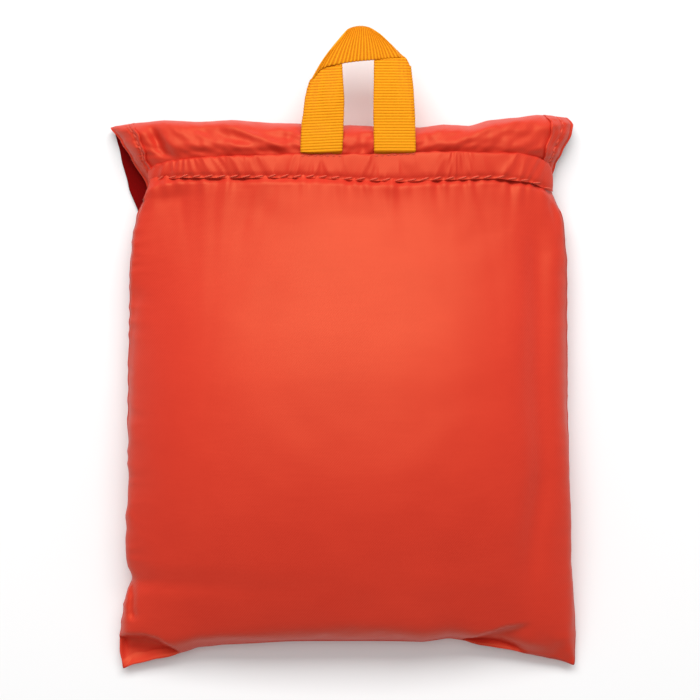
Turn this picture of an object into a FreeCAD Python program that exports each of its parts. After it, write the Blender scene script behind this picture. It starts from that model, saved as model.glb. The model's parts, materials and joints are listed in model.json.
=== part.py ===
"""A packable daypack, folded up and stuffed into its own flat pouch, lying on its back.

The pouch is two panels of nylon joined along both sides and the bottom. Its mouth is a hem with a flat
elastic in it, and the cloth behind the mouth goes on as a flap that turns over and is tucked back inside.
A webbing loop is sewn to the hem. Inside lies the daypack itself: folded cloth above and below, and between
them the shoulder straps with their ladder locks, the main zip, the sternum strap and its buckle.

Frame: +X across the pouch, +Y towards the mouth and the loop, +Z up out of the front panel.
The origin is at the centre of the bounding box, on the surface the pouch lies on. Millimetres.
"""

import FreeCAD, Part
import math
import os

V = FreeCAD.Vector

# ---------------------------------------------------------------- driving dimensions
# pouch outline
BODY_WIDTH = 217.6          # across the filled pouch
CORNER_FLARE = 5.7          # each flat bottom corner stands out this far
MOUTH_GATHER = 9.3          # the hem draws each side in this far
FLAP_FLARE = 13.5           # the flap's fold stands out past each end of the hem
FLAP_TUCK_IN = 13.5         # the flap's tucked end is drawn in from each end of the hem
BODY_LENGTH = 244.0         # bottom corners to the hem's stitch line
BOTTOM_ARCH = 13.4          # how far the filled bottom edge is drawn in at its middle
ARCH_SHAPE = 3.0            # higher keeps the middle of that edge straighter
CASING_WIDTH = 10.4         # the hem, stitch line to top edge
FLAP_REACH = 17.7           # hem's top edge to the fold of the flap
# heights
CROWN_RISE = 38.0           # front panel above the side seams
SIDE_SEAM_HEIGHT = 16.0     # seam above the ground half way up the pouch
CORNER_HEIGHT = 2.2         # seam above the ground at the bottom corners
BOTTOM_EDGE_RISE = 10.0     # the middle of the bottom edge above its corners
MOUTH_HEIGHT = 36.0         # middle of the hem above the ground
MOUTH_END_HEIGHT = 18.0     # ends of the hem above the ground
# cloth, tape and elastic
CLOTH = 0.8                 # stands for nylon and its seam allowance
SEAM_GAP = 0.1              # between the two panels at their seam
CASING_THICK = 2.4
CASING_END = 1.5            # the hem's ends stop this far inside the side seams
ELASTIC_WIDTH = 8.0
ELASTIC_THICK = 0.8
FLAP_TUCK = 36.0            # how much of the flap is inside the mouth
GROUND_TRIM = 0.3           # how far the back panel is flattened by the ground
FLAP_FOLD_HEIGHT = 7.0      # the fold of the flap above the ground, in its middle
FLAP_CORNER_HEIGHT = 2.6    # and at its two corners
# carry loop
WEB_WIDTH = 20.0
WEB_THICK = 1.2
LOOP_LENGTH = 64.25         # pivot to the top of the loop
LOOP_GAP = 16.0             # between the two legs
LOOP_OFFSET = 5.8           # loop's middle from the pouch's middle
LOOP_SHOULDER_LEFT = 27.0   # how far the slanted folds come down from the top
LOOP_SHOULDER_RIGHT = 17.5
LOOP_HEAD = 17.5            # from the top of the hole to the top of the loop
LOOP_PEAK_WIDTH = 10.0
LOOP_PEAK_SHIFT = 1.6       # middle of the peak from the loop's middle
LOOP_DROOP = 12.0           # how far the loop's top hangs below its root
PIVOT_ABOVE_CASING = 0.8
# clearances
REST_GAP = 0.3              # between soft pieces that lie on each other
TURN_GAP = 0.1              # between the loop and its sewn ends
GRID_PITCH = 14.0           # how finely folded pieces follow the curves of the pouch
GRID_MARGIN = 1e-6          # an end this near a grid line, in pitches, is on it
LOOP_STEPS = 16             # straight steps along the loop's curve
ROUND_STEPS = 8             # and round the webbing's turned end
# folded daypack: where its folded runs lie
STACK_INSET_BOTTOM = 32.0   # the runs end this far above the pouch's bottom edge
STACK_INSET_MOUTH = 10.0    # and this far below the hem's top edge
STACK_INSET_SIDE = 24.0     # and this far inside the pouch's sides
POCKET_INSET = 15.0         # the front pocket inside the folded panel's edges
POCKET_DROP = 45.0          # the front pocket's top below the panel's
STRAP_INSET = 8.0           # the shoulder straps end this far above the folded runs
FITTING_GAP = 3.0           # zip and buckle stay this far from the straps
# thicknesses of its stack as shares of the room inside
RUN_SHARE = 0.034           # one folded run of cloth
RUN_GAP = 0.016             # between runs
PAD_SHARE = 0.168           # one run of shoulder strap
POCKET_CLEAR = 0.012        # over the pocket, under the pouch's front panel
STRAP_INNER = 36.0          # inner edge of each shoulder strap from the middle
STRAP_WIDTH = 50.0
STRAP_WEB_LENGTH = 62.0
STRAP_WEB_THICK = 1.2
# ladder locks, zip and sternum buckle
LOCK_LENGTH = 25.0
LOCK_THICK = 4.6
LOCK_BAR = 3.4
LOCK_SIDE = 3.0
LOCK_SLACK = 0.6            # beside the webbing, and between lock and strap
LOCK_DIP = 0.4              # the webbing's dip above the lock's lower face
PAD_TURN = 1.05             # how far a strap's fold stands out past its ends, in pad thicknesses
WEB_END_INSET = 8.0         # the strap webbing ends this far short of the folded runs
ZIP_TAPE_WIDTH = 24.0
ZIP_TAPE_THICK = 0.8
ZIP_LENGTH = 120.0
ZIP_SHIFT = 10.0            # the zip's middle below the middle of the folded runs
TAPE_GAP = 0.4              # between the two tapes
COIL_WIDTH = 5.0
COIL_THICK = 1.6
SLIDER_LENGTH = 10.0
SLIDER_WIDTH = 8.6
SLIDER_THICK = 3.6
SLIDER_CHEEK = 1.2
CHEEK_LENGTH = 2.8
CHEEK_ROOT = 0.4            # the cheeks are sunk this far into the slider's body
SLIDER_GAP = 0.15           # round the coil and above the tapes
SLIDER_STOP = 4.0           # from the zip's end to the closed slider
PIN_INSET = 2.5             # from the slider's end to its pin
PIN_ABOVE = 1.2             # the pin above the slider's body
EYE_WALL = 0.35             # of the puller's eye, outside its clearance
PULLER_LENGTH = 15.0
PULLER_THICK = 1.2
PULLER_WIDTH = 5.0
PIN_RADIUS = 0.7
BUCKLE_WIDTH = 27.0
BUCKLE_LENGTH = 24.0
BUCKLE_THICK = 8.0
BUCKLE_WALL = 1.5
BUCKLE_BAR = 4.0
BUCKLE_SIDE = 3.0           # beside the webbing's slots
BUCKLE_SLOT = 2.6           # width of a slot for webbing
BUCKLE_SLACK = 0.2          # between plug and socket, and under the webbing
WINDOW_START = 12.0         # side windows, measured from the socket's mouth
WINDOW_END = 6.0
PRONG_END_GAP = 0.6         # beyond the prongs' ends
PRONG_WIDTH = 3.0
GUIDE_WIDTH = 5.0
HEAD_GAP = 0.5              # between the plug's head and the socket
HEAD_INSET = 0.6            # the head is this much thinner than the socket, each side
PLUG_HEAD = 11.0
PLUG_PRONG = 14.4
STERNUM_WEB_LENGTH = 40.0
HAUL_LENGTH = 34.0
HAUL_WIDTH = 24.0
HAUL_BAND = 8.0             # width of its webbing
HAUL_ROOT = 4.0             # the end of it that is sewn down

# ---------------------------------------------------------------- places worked out from them
CORNER_WIDTH = BODY_WIDTH + 2 * CORNER_FLARE
MOUTH_WIDTH = BODY_WIDTH - 2 * MOUTH_GATHER
FLAP_WIDTH = MOUTH_WIDTH + 2 * FLAP_FLARE
FLAP_TUCK_WIDTH = MOUTH_WIDTH - 2 * FLAP_TUCK_IN
PIVOT_STEP = 0.9            # the loop's pivot stands this far past the hem's top edge
TOTAL_LENGTH = BODY_LENGTH + CASING_WIDTH + PIVOT_STEP + LOOP_LENGTH
BOTTOM_Y = -TOTAL_LENGTH / 2
STITCH_Y = BOTTOM_Y + BODY_LENGTH
HEM_Y = STITCH_Y + CASING_WIDTH
FOLD_Y = HEM_Y + FLAP_REACH
PIVOT_Y = HEM_Y + PIVOT_STEP
CASING_TOP = MOUTH_HEIGHT + CASING_THICK / 2
PIVOT_Z = CASING_TOP + PIVOT_ABOVE_CASING
ROOM_HEIGHT = SIDE_SEAM_HEIGHT + CROWN_RISE - 2 * CLOTH

# ---------------------------------------------------------------- how the stuffed cloth curves
FLARE_SHARE = 0.14          # the corners' flare dies away over this share of the length
GATHER_START = 0.82         # the sides draw in to the hem above this share
CROWN_SHAPE = 2.6           # higher keeps the crown flat nearer to its edges
SIDE_POWER = 0.8            # lower makes the sides stand steeper
BOTTOM_POWER = 0.75         # lower makes the bottom edge stand steeper
BINDING_START = 0.955       # the seam binding's inner edge as a share of the half width
BINDING_SPAN = 0.03
BINDING_LOW, BINDING_HIGH = 0.06, 0.97
FLAP_CREST = 0.32           # the flap's highest line, as a share of the way from pivot to fold
FLAP_UNDER = 0.25           # how far the fold curls under, as a share of its reach
FLAP_POINTS = 46            # along the flap's path
MOUTH_ROOM_START, MOUTH_ROOM_RUN = 34.0, 30.0   # where the room inside narrows under the tucked flap


def smooth(t):
    """0 below 0, 1 above 1, and a smooth step between."""
    t = min(max(t, 0.0), 1.0)
    return t * t * (3 - 2 * t)


def half_width(v):
    """Half the pouch's width at share v of its length, from the bottom edge to the stitch line."""
    flare = CORNER_FLARE * math.exp(-v / FLARE_SHARE)
    draw_in = MOUTH_GATHER * smooth((v - GATHER_START) / (1 - GATHER_START))
    return BODY_WIDTH / 2 + flare - draw_in


def along(u, v):
    """Y at share u across (-1 to 1) and v along the pouch. The bottom edge is arched by the filling."""
    bottom = BOTTOM_Y + BOTTOM_ARCH * (1 - abs(u) ** ARCH_SHAPE)
    return bottom + (STITCH_Y - bottom) * v


def mouth_height(u):
    """Height of the hem's middle line at share u across."""
    return MOUTH_END_HEIGHT + (MOUTH_HEIGHT - MOUTH_END_HEIGHT) * (1 - abs(u) ** CROWN_SHAPE)


def seam_height(u, v):
    """Height of the surface that the two panels' seams lie in."""
    side = CORNER_HEIGHT + (SIDE_SEAM_HEIGHT - CORNER_HEIGHT) * smooth(v / 0.55)
    side += (MOUTH_END_HEIGHT - SIDE_SEAM_HEIGHT) * smooth((v - 0.75) / 0.25)
    return side + BOTTOM_EDGE_RISE * (1 - u * u) * (1 - v) ** 4


def fill(u, v):
    """How full the pouch is at a place, 0 at its seams and 1 at the crown."""
    from_side = (1 - abs(u) ** CROWN_SHAPE) ** SIDE_POWER
    from_bottom = (1 - (1 - min(v / 0.5, 1.0)) ** CROWN_SHAPE) ** BOTTOM_POWER
    mouth_share = (MOUTH_HEIGHT - MOUTH_END_HEIGHT) / CROWN_RISE
    to_mouth = 1 - (1 - mouth_share) * smooth((v - 0.55) / 0.45)
    return from_side * from_bottom * to_mouth


def front_inner(u, v):
    """Height of the front panel's inner face."""
    return seam_height(u, v) + CROWN_RISE * fill(u, v) + SEAM_GAP / 2


def back_inner(u, v):
    """Height of the back panel's inner face: at the seams, and flat on the ground between them."""
    seam = seam_height(u, v) - SEAM_GAP / 2
    flat = (1 - abs(u) ** 6) * (1 - (1 - v) ** 9)
    return seam - (seam - CLOTH + GROUND_TRIM) * flat


# ---------------------------------------------------------------- ways of making a solid
def spread(count, low=-1.0, high=1.0):
    """count values from low to high, closer together towards both ends."""
    middle = (low + high) / 2
    reach = (high - low) / 2
    return [middle - reach * math.cos(math.pi * i / (count - 1)) for i in range(count)]


def surface_face(points):
    surface = Part.BSplineSurface()
    surface.interpolate(points)
    return surface.toShape()


def rim(face):
    """The four boundary edges of a surface patch, in a fixed order."""
    surface = face.Surface
    u0, u1, v0, v1 = surface.bounds()
    return [surface.uIso(u0).toShape(), surface.uIso(u1).toShape(),
            surface.vIso(v0).toShape(), surface.vIso(v1).toShape()]


def solid_between(low, high):
    """A closed solid between two grids of points that have the same rows and columns."""
    bottom = surface_face(low)
    top = surface_face(high)
    walls = [Part.makeRuledSurface(a, b) for a, b in zip(rim(bottom), rim(top))]
    shell = Part.Shell([bottom, top] + walls)
    shell.sewShape()
    solid = Part.Solid(shell)
    return solid if solid.Volume > 0 else Part.Solid(shell.reversed())


def panel(inner, thick, us, vs):
    """A sheet whose inner face is the height function inner, thick upwards (or downwards if negative)."""
    grid = [[V(u * half_width(v), along(u, v), inner(u, v)) for v in vs] for u in us]
    other = [[p + V(0, 0, thick) for p in row] for row in grid]
    return solid_between(grid, other) if thick > 0 else solid_between(other, grid)


def thicken(path, thick):
    """The closed outline of a strip of the given thickness along a path of (y, z) points."""
    left, right = [], []
    for i, (y, z) in enumerate(path):
        y0, z0 = path[max(i - 1, 0)]
        y1, z1 = path[min(i + 1, len(path) - 1)]
        size = math.hypot(y1 - y0, z1 - z0)
        ny, nz = -(z1 - z0) / size * thick / 2, (y1 - y0) / size * thick / 2
        left.append((y + ny, z + nz))
        right.append((y - ny, z - nz))
    return left + right[::-1]


def even_steps(path, count):
    """The same path with count points, evenly spaced along it."""
    lengths = [0.0]
    for (y0, z0), (y1, z1) in zip(path, path[1:]):
        lengths.append(lengths[-1] + math.hypot(y1 - y0, z1 - z0))
    even, k = [], 0
    for i in range(count):
        target = lengths[-1] * i / (count - 1)
        while k < len(path) - 2 and lengths[k + 1] < target:
            k += 1
        share = (target - lengths[k]) / (lengths[k + 1] - lengths[k])
        (y0, z0), (y1, z1) = path[k], path[k + 1]
        even.append((y0 + (y1 - y0) * share, z0 + (z1 - z0) * share))
    return even


def loft_across(section, xs):
    """A solid through closed sections, one at each x: section(x) gives its (y, z) points."""
    wires = []
    for x in xs:
        points = [V(x, y, z) for y, z in section(x)]
        wires.append(Part.makePolygon(points + points[:1]))
    return Part.makeLoft(wires, True, True)


def prism(outline, z, height):
    """A flat plate: a closed outline of (x, y) points raised from z by height."""
    points = [V(x, y, z) for x, y in outline]
    return Part.Face(Part.makePolygon(points + points[:1])).extrude(V(0, 0, height))


def block(x0, x1, y0, y1, z0, z1):
    return Part.makeBox(x1 - x0, y1 - y0, z1 - z0, V(x0, y0, z0))


def across(middle, width):
    return middle - width / 2, middle + width / 2


def on_grid(value):
    """The nearest line of the grid that all folded pieces share."""
    return round(value / GRID_PITCH) * GRID_PITCH


def stations(low, high):
    """Values from low to high on a grid that all folded pieces share, so that they lie on each other."""
    first = math.floor(low / GRID_PITCH + GRID_MARGIN) + 1
    last = math.ceil(high / GRID_PITCH - GRID_MARGIN) - 1
    return [low] + [k * GRID_PITCH for k in range(first, last + 1)] + [high]


# ---------------------------------------------------------------- the pouch
def front_panel():
    return panel(front_inner, CLOTH, spread(15), spread(13, 0.0, 1.0))


def back_panel():
    """The back panel runs on past the stitch line to the hem's top edge, and is flat where it rests."""
    last = 1.0 + CASING_WIDTH / BODY_LENGTH
    sheet = panel(back_inner, -CLOTH, spread(15), spread(13, 0.0, last))
    reach = CORNER_WIDTH
    return sheet.common(block(-reach, reach, -TOTAL_LENGTH, TOTAL_LENGTH, 0.0, MOUTH_HEIGHT))


def along_hem(x0, x1, y0, y1, offset, thick):
    """A strip that follows the hem's height: its middle lies offset above the hem's middle."""
    low = []
    for i in range(13):
        x = x0 + (x1 - x0) * i / 12
        z = mouth_height(2 * x / MOUTH_WIDTH) + offset - thick / 2
        low.append([V(x, y0 + (y1 - y0) * j / 3, z) for j in range(4)])
    high = [[p + V(0, 0, thick) for p in row] for row in low]
    return solid_between(low, high)


CASING_HALF = MOUTH_WIDTH / 2 - CASING_END
CASING_Y = STITCH_Y + SEAM_GAP


def mouth_casing():
    wall = (CASING_THICK - ELASTIC_THICK) / 2 - REST_GAP
    tube = along_hem(-CASING_HALF, CASING_HALF, CASING_Y, HEM_Y, 0, CASING_THICK)
    bore = along_hem(-CASING_HALF - 1, CASING_HALF + 1, CASING_Y + wall, HEM_Y - wall, 0,
                     CASING_THICK - 2 * wall)
    return tube.cut(bore)


def mouth_elastic():
    middle = (CASING_Y + HEM_Y) / 2
    return along_hem(-CASING_HALF, CASING_HALF, middle - ELASTIC_WIDTH / 2, middle + ELASTIC_WIDTH / 2, 0,
                     ELASTIC_THICK)


def seam_binding(side):
    """The bound seam allowance inside one side of the pouch."""
    us = [side * (BINDING_START + BINDING_SPAN * i / 3) for i in range(4)]
    vs = spread(13, BINDING_LOW, BINDING_HIGH)
    low = []
    for u in us:
        row = []
        for v in vs:
            middle = (front_inner(u, v) + back_inner(u, v)) / 2
            row.append(V(u * half_width(v), along(u, v), middle - CLOTH / 2))
        low.append(row)
    high = [[p + V(0, 0, CLOTH) for p in row] for row in low]
    return solid_between(low, high)


def flap_width(y):
    """The flap's width: narrow where it is tucked in, and wide at its fold."""
    return FLAP_TUCK_WIDTH + (FLAP_WIDTH - FLAP_TUCK_WIDTH) * smooth((y - HEM_Y) / (FOLD_Y - HEM_Y - 2))


def flap_tail(x):
    """Height of the part of the flap that is tucked under the hem and the loop's sewn ends."""
    hem = mouth_height(2 * x / MOUTH_WIDTH)
    return hem - CASING_THICK / 2 - TURN_GAP - WEB_THICK - REST_GAP - CLOTH / 2


def flap_seat(x, y):
    """Height of the flap's lower layer, which lies on the back panel as far as the hem."""
    length_share = min((y - BOTTOM_Y) / BODY_LENGTH, 1.0)
    ground = CLOTH - GROUND_TRIM + REST_GAP + CLOTH / 2
    inside = back_inner(x / half_width(length_share), length_share) + REST_GAP + CLOTH / 2
    return inside + (ground - inside) * smooth((y - HEM_Y - 1) / (FOLD_Y - HEM_Y) * 1.5)


def flap_path(u):
    """The flap from its tucked end, over the fold and back along the ground, as (y, z) points."""
    x = u * FLAP_TUCK_WIDTH / 2
    tail = flap_tail(x)
    hump = PIVOT_Z - WEB_THICK / 2 - REST_GAP - CLOTH / 2 - flap_tail(0)
    top = tail + hump * (1 - u ** 4)
    fold = FLAP_CORNER_HEIGHT + (FLAP_FOLD_HEIGHT - FLAP_CORNER_HEIGHT) * (1 - u ** 4)
    crest = PIVOT_Y + FLAP_CREST * (FOLD_Y - PIVOT_Y)
    first = HEM_Y - FLAP_TUCK
    rise = PIVOT_Y + WEB_THICK / 2 + REST_GAP + CLOTH / 2
    path = [(first + (rise - first) * i / 4, tail) for i in range(5)]
    path.append(((rise + crest) / 2, (tail + top) / 2))
    nose = FOLD_Y - CLOTH / 2 - crest
    for i in range(9):
        turn = math.pi / 2 * (1 - i / 8)
        path.append((crest + nose * math.cos(turn), fold + (top - fold) * math.sin(turn)))
    under = FLAP_UNDER * nose
    for i in range(1, 7):
        turn = math.pi / 2 * i / 6
        y = FOLD_Y - CLOTH / 2 - under + under * math.cos(turn)
        path.append((y, fold + (flap_seat(x, y) - fold) * math.sin(turn)))
    start = FOLD_Y - CLOTH / 2 - under
    for i in range(1, 9):
        y = start + (first - start) * i / 8
        path.append((y, flap_seat(x, y)))
    return path


def top_flap():
    """The flap is wider at its fold than in the mouth, so each of its points has an x of its own."""
    grids = [[], []]
    for u in spread(15):
        path = even_steps(flap_path(u), FLAP_POINTS)
        outline = thicken(path, CLOTH)
        count = len(path)
        for grid, strip in zip(grids, (outline[:count], outline[count:][::-1])):
            grid.append([V(u * flap_width(path_y) / 2, y, z) for (y, z), (path_y, _) in zip(strip, path)])
    return solid_between(grids[1], grids[0])


# ---------------------------------------------------------------- the carry loop
def leg_middles():
    step = (LOOP_GAP + WEB_WIDTH) / 2
    return [LOOP_OFFSET - step, LOOP_OFFSET + step]


def loop_middle_height(y):
    """The loop hangs in a shallow curve from its pivot."""
    share = max(y - PIVOT_Y, 0.0) / LOOP_LENGTH
    return PIVOT_Z - LOOP_DROOP * share ** 2


def loop_shoulders():
    """Where the slanted fold begins and ends on the outer edge of each leg, as (x, y) points."""
    left, right = leg_middles()
    peak = LOOP_OFFSET + LOOP_PEAK_SHIFT
    top = PIVOT_Y + LOOP_LENGTH
    return [((left - WEB_WIDTH / 2, top - LOOP_SHOULDER_LEFT), (peak - LOOP_PEAK_WIDTH / 2, top)),
            ((right + WEB_WIDTH / 2, top - LOOP_SHOULDER_RIGHT), (peak + LOOP_PEAK_WIDTH / 2, top))]


def loop_section(hole_top, top):
    """The loop seen from its side: one webbing thick along the legs, two in the cross piece, its end rounded."""
    legs = [PIVOT_Y + (hole_top - PIVOT_Y) * i / LOOP_STEPS for i in range(LOOP_STEPS + 1)]
    head = [hole_top + (top - hole_top) * i / LOOP_STEPS for i in range(LOOP_STEPS + 1)]
    section = [(y, loop_middle_height(y) - WEB_THICK / 2) for y in legs + head[1:]]
    section += [(y, loop_middle_height(y) + 3 * WEB_THICK / 2) for y in reversed(head)]
    section += [(y, loop_middle_height(y) + WEB_THICK / 2) for y in reversed(legs)]
    turns = [math.pi * (0.5 + k / ROUND_STEPS) for k in range(1, ROUND_STEPS)]
    return section + [(PIVOT_Y + WEB_THICK / 2 * math.cos(t), PIVOT_Z + WEB_THICK / 2 * math.sin(t)) for t in turns]


def carry_loop():
    """Two legs, and over their upper ends a cross piece folded along the slanted shoulders."""
    (foot_left, peak_left), (foot_right, peak_right) = loop_shoulders()
    top = PIVOT_Y + LOOP_LENGTH
    hole_top = top - LOOP_HEAD
    points = [V(-FLAP_WIDTH / 2, y, z) for y, z in loop_section(hole_top, top)]
    slab = Part.Face(Part.makePolygon(points + points[:1])).extrude(V(FLAP_WIDTH, 0, 0))
    root = PIVOT_Y - WEB_THICK
    outline = [(foot_left[0], root), foot_left, peak_left, peak_right, foot_right, (foot_right[0], root)]
    left, right = leg_middles()
    hole = block(left + WEB_WIDTH / 2, right - WEB_WIDTH / 2, root, hole_top, 0, 2 * PIVOT_Z)
    return slab.common(prism(outline, 0, 2 * PIVOT_Z)).cut(hole)


def loop_ends():
    """The two sewn ends of the loop: a tab under the hem and a riser past its top edge."""
    offset = -CASING_THICK / 2 - TURN_GAP - WEB_THICK / 2
    end = PIVOT_Y + WEB_THICK / 2
    ends = []
    for middle in leg_middles():
        x0, x1 = across(middle, WEB_WIDTH)
        tab = along_hem(x0, x1, STITCH_Y, end, offset, WEB_THICK)
        low = mouth_height(2 * middle / MOUTH_WIDTH) + offset
        riser = block(x0, x1, HEM_Y + TURN_GAP, end, low, PIVOT_Z - WEB_THICK / 2 - TURN_GAP)
        ends.append(tab.fuse(riser))
    return Part.makeCompound(ends)


# ---------------------------------------------------------------- the folded daypack
def room_at(x, y):
    """The lowest and highest z left for the folded daypack at a place."""
    v = (y - BOTTOM_Y - BOTTOM_ARCH) / (BODY_LENGTH - BOTTOM_ARCH)
    inside = min(max(v, 0.0), 1.0)
    u = x / half_width(inside)
    low = max(back_inner(u, inside), CLOTH - GROUND_TRIM) + 2 * REST_GAP + CLOTH + TURN_GAP
    under_front = front_inner(u, inside) - REST_GAP
    under_flap = flap_tail(x) - CLOTH / 2 - REST_GAP
    near_mouth = smooth((y - (HEM_Y - FLAP_TUCK - MOUTH_ROOM_START)) / MOUTH_ROOM_RUN)
    return low, under_front + (min(under_flap, under_front) - under_front) * near_mouth


def in_room(y, share, x):
    low, high = room_at(x, y)
    return y, low + share * (high - low)


def folded_path(y_low, y_high, first, last, runs):
    """A path that goes to and fro between two y, climbing from one share of the room to another."""
    step = (last - first) / (runs - 1)
    path = []
    for run in range(runs):
        share = first + run * step
        end = y_high if run % 2 == 0 else y_low
        ys = stations(y_low, y_high)
        path += [(y, share) for y in (ys if run % 2 == 0 else ys[::-1])]
        if run < runs - 1:
            reach = step * ROOM_HEIGHT / 2 * (1 if run % 2 == 0 else -1)
            for turn in (45, 90, 135):
                angle = math.radians(turn)
                path.append((end + reach * math.sin(angle), share + step / 2 * (1 - math.cos(angle))))
    return path


def folded_cloth(y_low, y_high, base, runs, x_low, x_high, thick=RUN_SHARE):
    """Cloth or strap folded to and fro, its lowest face at the share base of the room."""
    step = thick + RUN_GAP
    first = base + thick / 2
    path = folded_path(y_low, y_high, first, first + step * (runs - 1), runs)
    flat = [(y, s * ROOM_HEIGHT) for y, s in path]
    outline = thicken(flat, thick * ROOM_HEIGHT)
    return loft_across(lambda x: [in_room(y, z / ROOM_HEIGHT, x) for y, z in outline],
                       stations(x_low, x_high))


def stack_height(runs):
    return runs * (RUN_SHARE + RUN_GAP)


CLOTH_BOTTOM = BOTTOM_Y + BOTTOM_ARCH + STACK_INSET_BOTTOM  # where the folded runs end at the bottom
CLOTH_TOP = HEM_Y - STACK_INSET_MOUTH                       # and at the mouth
CLOTH_HALF = BODY_WIDTH / 2 - STACK_INSET_SIDE
BACK_RUNS, GUSSET_RUNS, FRONT_RUNS, STRAP_RUNS = 3, 2, 3, 3
CHANNEL_FLOOR = stack_height(BACK_RUNS + GUSSET_RUNS)       # where straps and fittings begin
POCKET_BASE = 1.0 - RUN_SHARE - POCKET_CLEAR
FRONT_BASE = POCKET_BASE - stack_height(FRONT_RUNS)         # the folded front panel, above the straps


def cloth_stack(base, runs):
    return folded_cloth(CLOTH_BOTTOM, CLOTH_TOP, base, runs, -CLOTH_HALF, CLOTH_HALF)


def pocket_patch():
    """The daypack's front pocket: one run over the folded front panel, its edges on the shared grid."""
    y_low, y_high = on_grid(CLOTH_BOTTOM + POCKET_INSET), on_grid(CLOTH_TOP - POCKET_DROP)
    middle = (POCKET_BASE + RUN_SHARE / 2) * ROOM_HEIGHT
    outline = thicken([(y, middle) for y in stations(y_low, y_high)], RUN_SHARE * ROOM_HEIGHT)
    half = on_grid(CLOTH_HALF - POCKET_INSET)
    return loft_across(lambda x: [in_room(y, z / ROOM_HEIGHT, x) for y, z in outline], stations(-half, half))


def strap_span(side):
    return sorted((side * STRAP_INNER, side * (STRAP_INNER + STRAP_WIDTH)))


def shoulder_strap(side):
    """One padded strap, folded twice. Its runs fill the layer between the folded cloths."""
    x0, x1 = strap_span(side)
    return folded_cloth(CLOTH_BOTTOM + STRAP_INSET, CLOTH_TOP - STRAP_WEB_LENGTH, CHANNEL_FLOOR,
                        STRAP_RUNS, x0, x1, PAD_SHARE)


def floor_under(x0, x1, y0, y1):
    """The height on which a flat piece of that outline rests, on top of the lower folded cloth."""
    spots = [(x0 + (x1 - x0) * i / 4, y0 + (y1 - y0) * j / 6) for i in range(5) for j in range(7)]
    return max(in_room(y, CHANNEL_FLOOR, x)[1] for x, y in spots)


ZIP_X = -STRAP_INNER + FITTING_GAP + ZIP_TAPE_WIDTH / 2
ZIP_Y = (CLOTH_BOTTOM + CLOTH_TOP - ZIP_LENGTH) / 2 - ZIP_SHIFT
ZIP_Z = floor_under(ZIP_X - ZIP_TAPE_WIDTH / 2, ZIP_X + ZIP_TAPE_WIDTH / 2, ZIP_Y, ZIP_Y + ZIP_LENGTH)
SLIDER_Y = ZIP_Y + SLIDER_STOP
SLIDER_Z = ZIP_Z + ZIP_TAPE_THICK + SLIDER_GAP
PIN_Y = SLIDER_Y + SLIDER_LENGTH - PIN_INSET
PIN_Z = SLIDER_Z + SLIDER_THICK + PIN_ABOVE
BUCKLE_X = STRAP_INNER - FITTING_GAP - BUCKLE_WIDTH / 2
BUCKLE_Y = ZIP_Y + ZIP_LENGTH / 2 - BUCKLE_LENGTH
BUCKLE_Z = floor_under(BUCKLE_X - BUCKLE_WIDTH / 2, BUCKLE_X + BUCKLE_WIDTH / 2, BUCKLE_Y,
                       BUCKLE_Y + BUCKLE_LENGTH + PLUG_HEAD)


def zip_tapes():
    """Two tapes side by side under the coil."""
    low, high = across(ZIP_X, ZIP_TAPE_WIDTH)
    spans = ((low, ZIP_X - TAPE_GAP / 2), (ZIP_X + TAPE_GAP / 2, high))
    return Part.makeCompound([block(a, b, ZIP_Y, ZIP_Y + ZIP_LENGTH, ZIP_Z, ZIP_Z + ZIP_TAPE_THICK)
                              for a, b in spans])


def zip_coil():
    """The closed coil on the tapes."""
    x0, x1 = across(ZIP_X, COIL_WIDTH)
    z0 = ZIP_Z + ZIP_TAPE_THICK
    return block(x0, x1, ZIP_Y, ZIP_Y + ZIP_LENGTH, z0, z0 + COIL_THICK)


def zip_slider():
    """A body that straddles the coil above the tapes, with two cheeks and a pin for the puller."""
    x0, x1 = across(ZIP_X, SLIDER_WIDTH)
    t0, t1 = across(ZIP_X, COIL_WIDTH + 2 * SLIDER_GAP)
    body = block(x0, x1, SLIDER_Y, SLIDER_Y + SLIDER_LENGTH, SLIDER_Z, SLIDER_Z + SLIDER_THICK)
    body = body.cut(block(t0, t1, SLIDER_Y - 1, SLIDER_Y + SLIDER_LENGTH + 1, SLIDER_Z - 1,
                          SLIDER_Z + COIL_THICK))
    inner = PULLER_WIDTH / 2 + TURN_GAP
    top = PIN_Z + 2 * PIN_RADIUS
    for x in (ZIP_X - inner - SLIDER_CHEEK, ZIP_X + inner):
        y0, y1 = across(PIN_Y, CHEEK_LENGTH)
        body = body.fuse(block(x, x + SLIDER_CHEEK, y0, y1, SLIDER_Z + SLIDER_THICK - CHEEK_ROOT, top))
    start = V(ZIP_X - inner - SLIDER_CHEEK / 2, PIN_Y, PIN_Z)
    pin = Part.makeCylinder(PIN_RADIUS, 2 * inner + SLIDER_CHEEK, start, V(1, 0, 0))
    return body.fuse(pin).removeSplitter()


def zip_puller():
    """A flat tab with an eye round the slider's pin."""
    x0, x1 = across(ZIP_X, PULLER_WIDTH)
    eye_radius = PIN_RADIUS + TURN_GAP + EYE_WALL
    eye = Part.makeCylinder(eye_radius, PULLER_WIDTH, V(x0, PIN_Y, PIN_Z), V(1, 0, 0))
    tab = block(x0, x1, PIN_Y, PIN_Y + PULLER_LENGTH, PIN_Z - PULLER_THICK / 2, PIN_Z + PULLER_THICK / 2)
    hole = Part.makeCylinder(PIN_RADIUS + TURN_GAP, PULLER_WIDTH + 2, V(x0 - 1, PIN_Y, PIN_Z), V(1, 0, 0))
    return eye.fuse(tab).cut(hole).removeSplitter()


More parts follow.
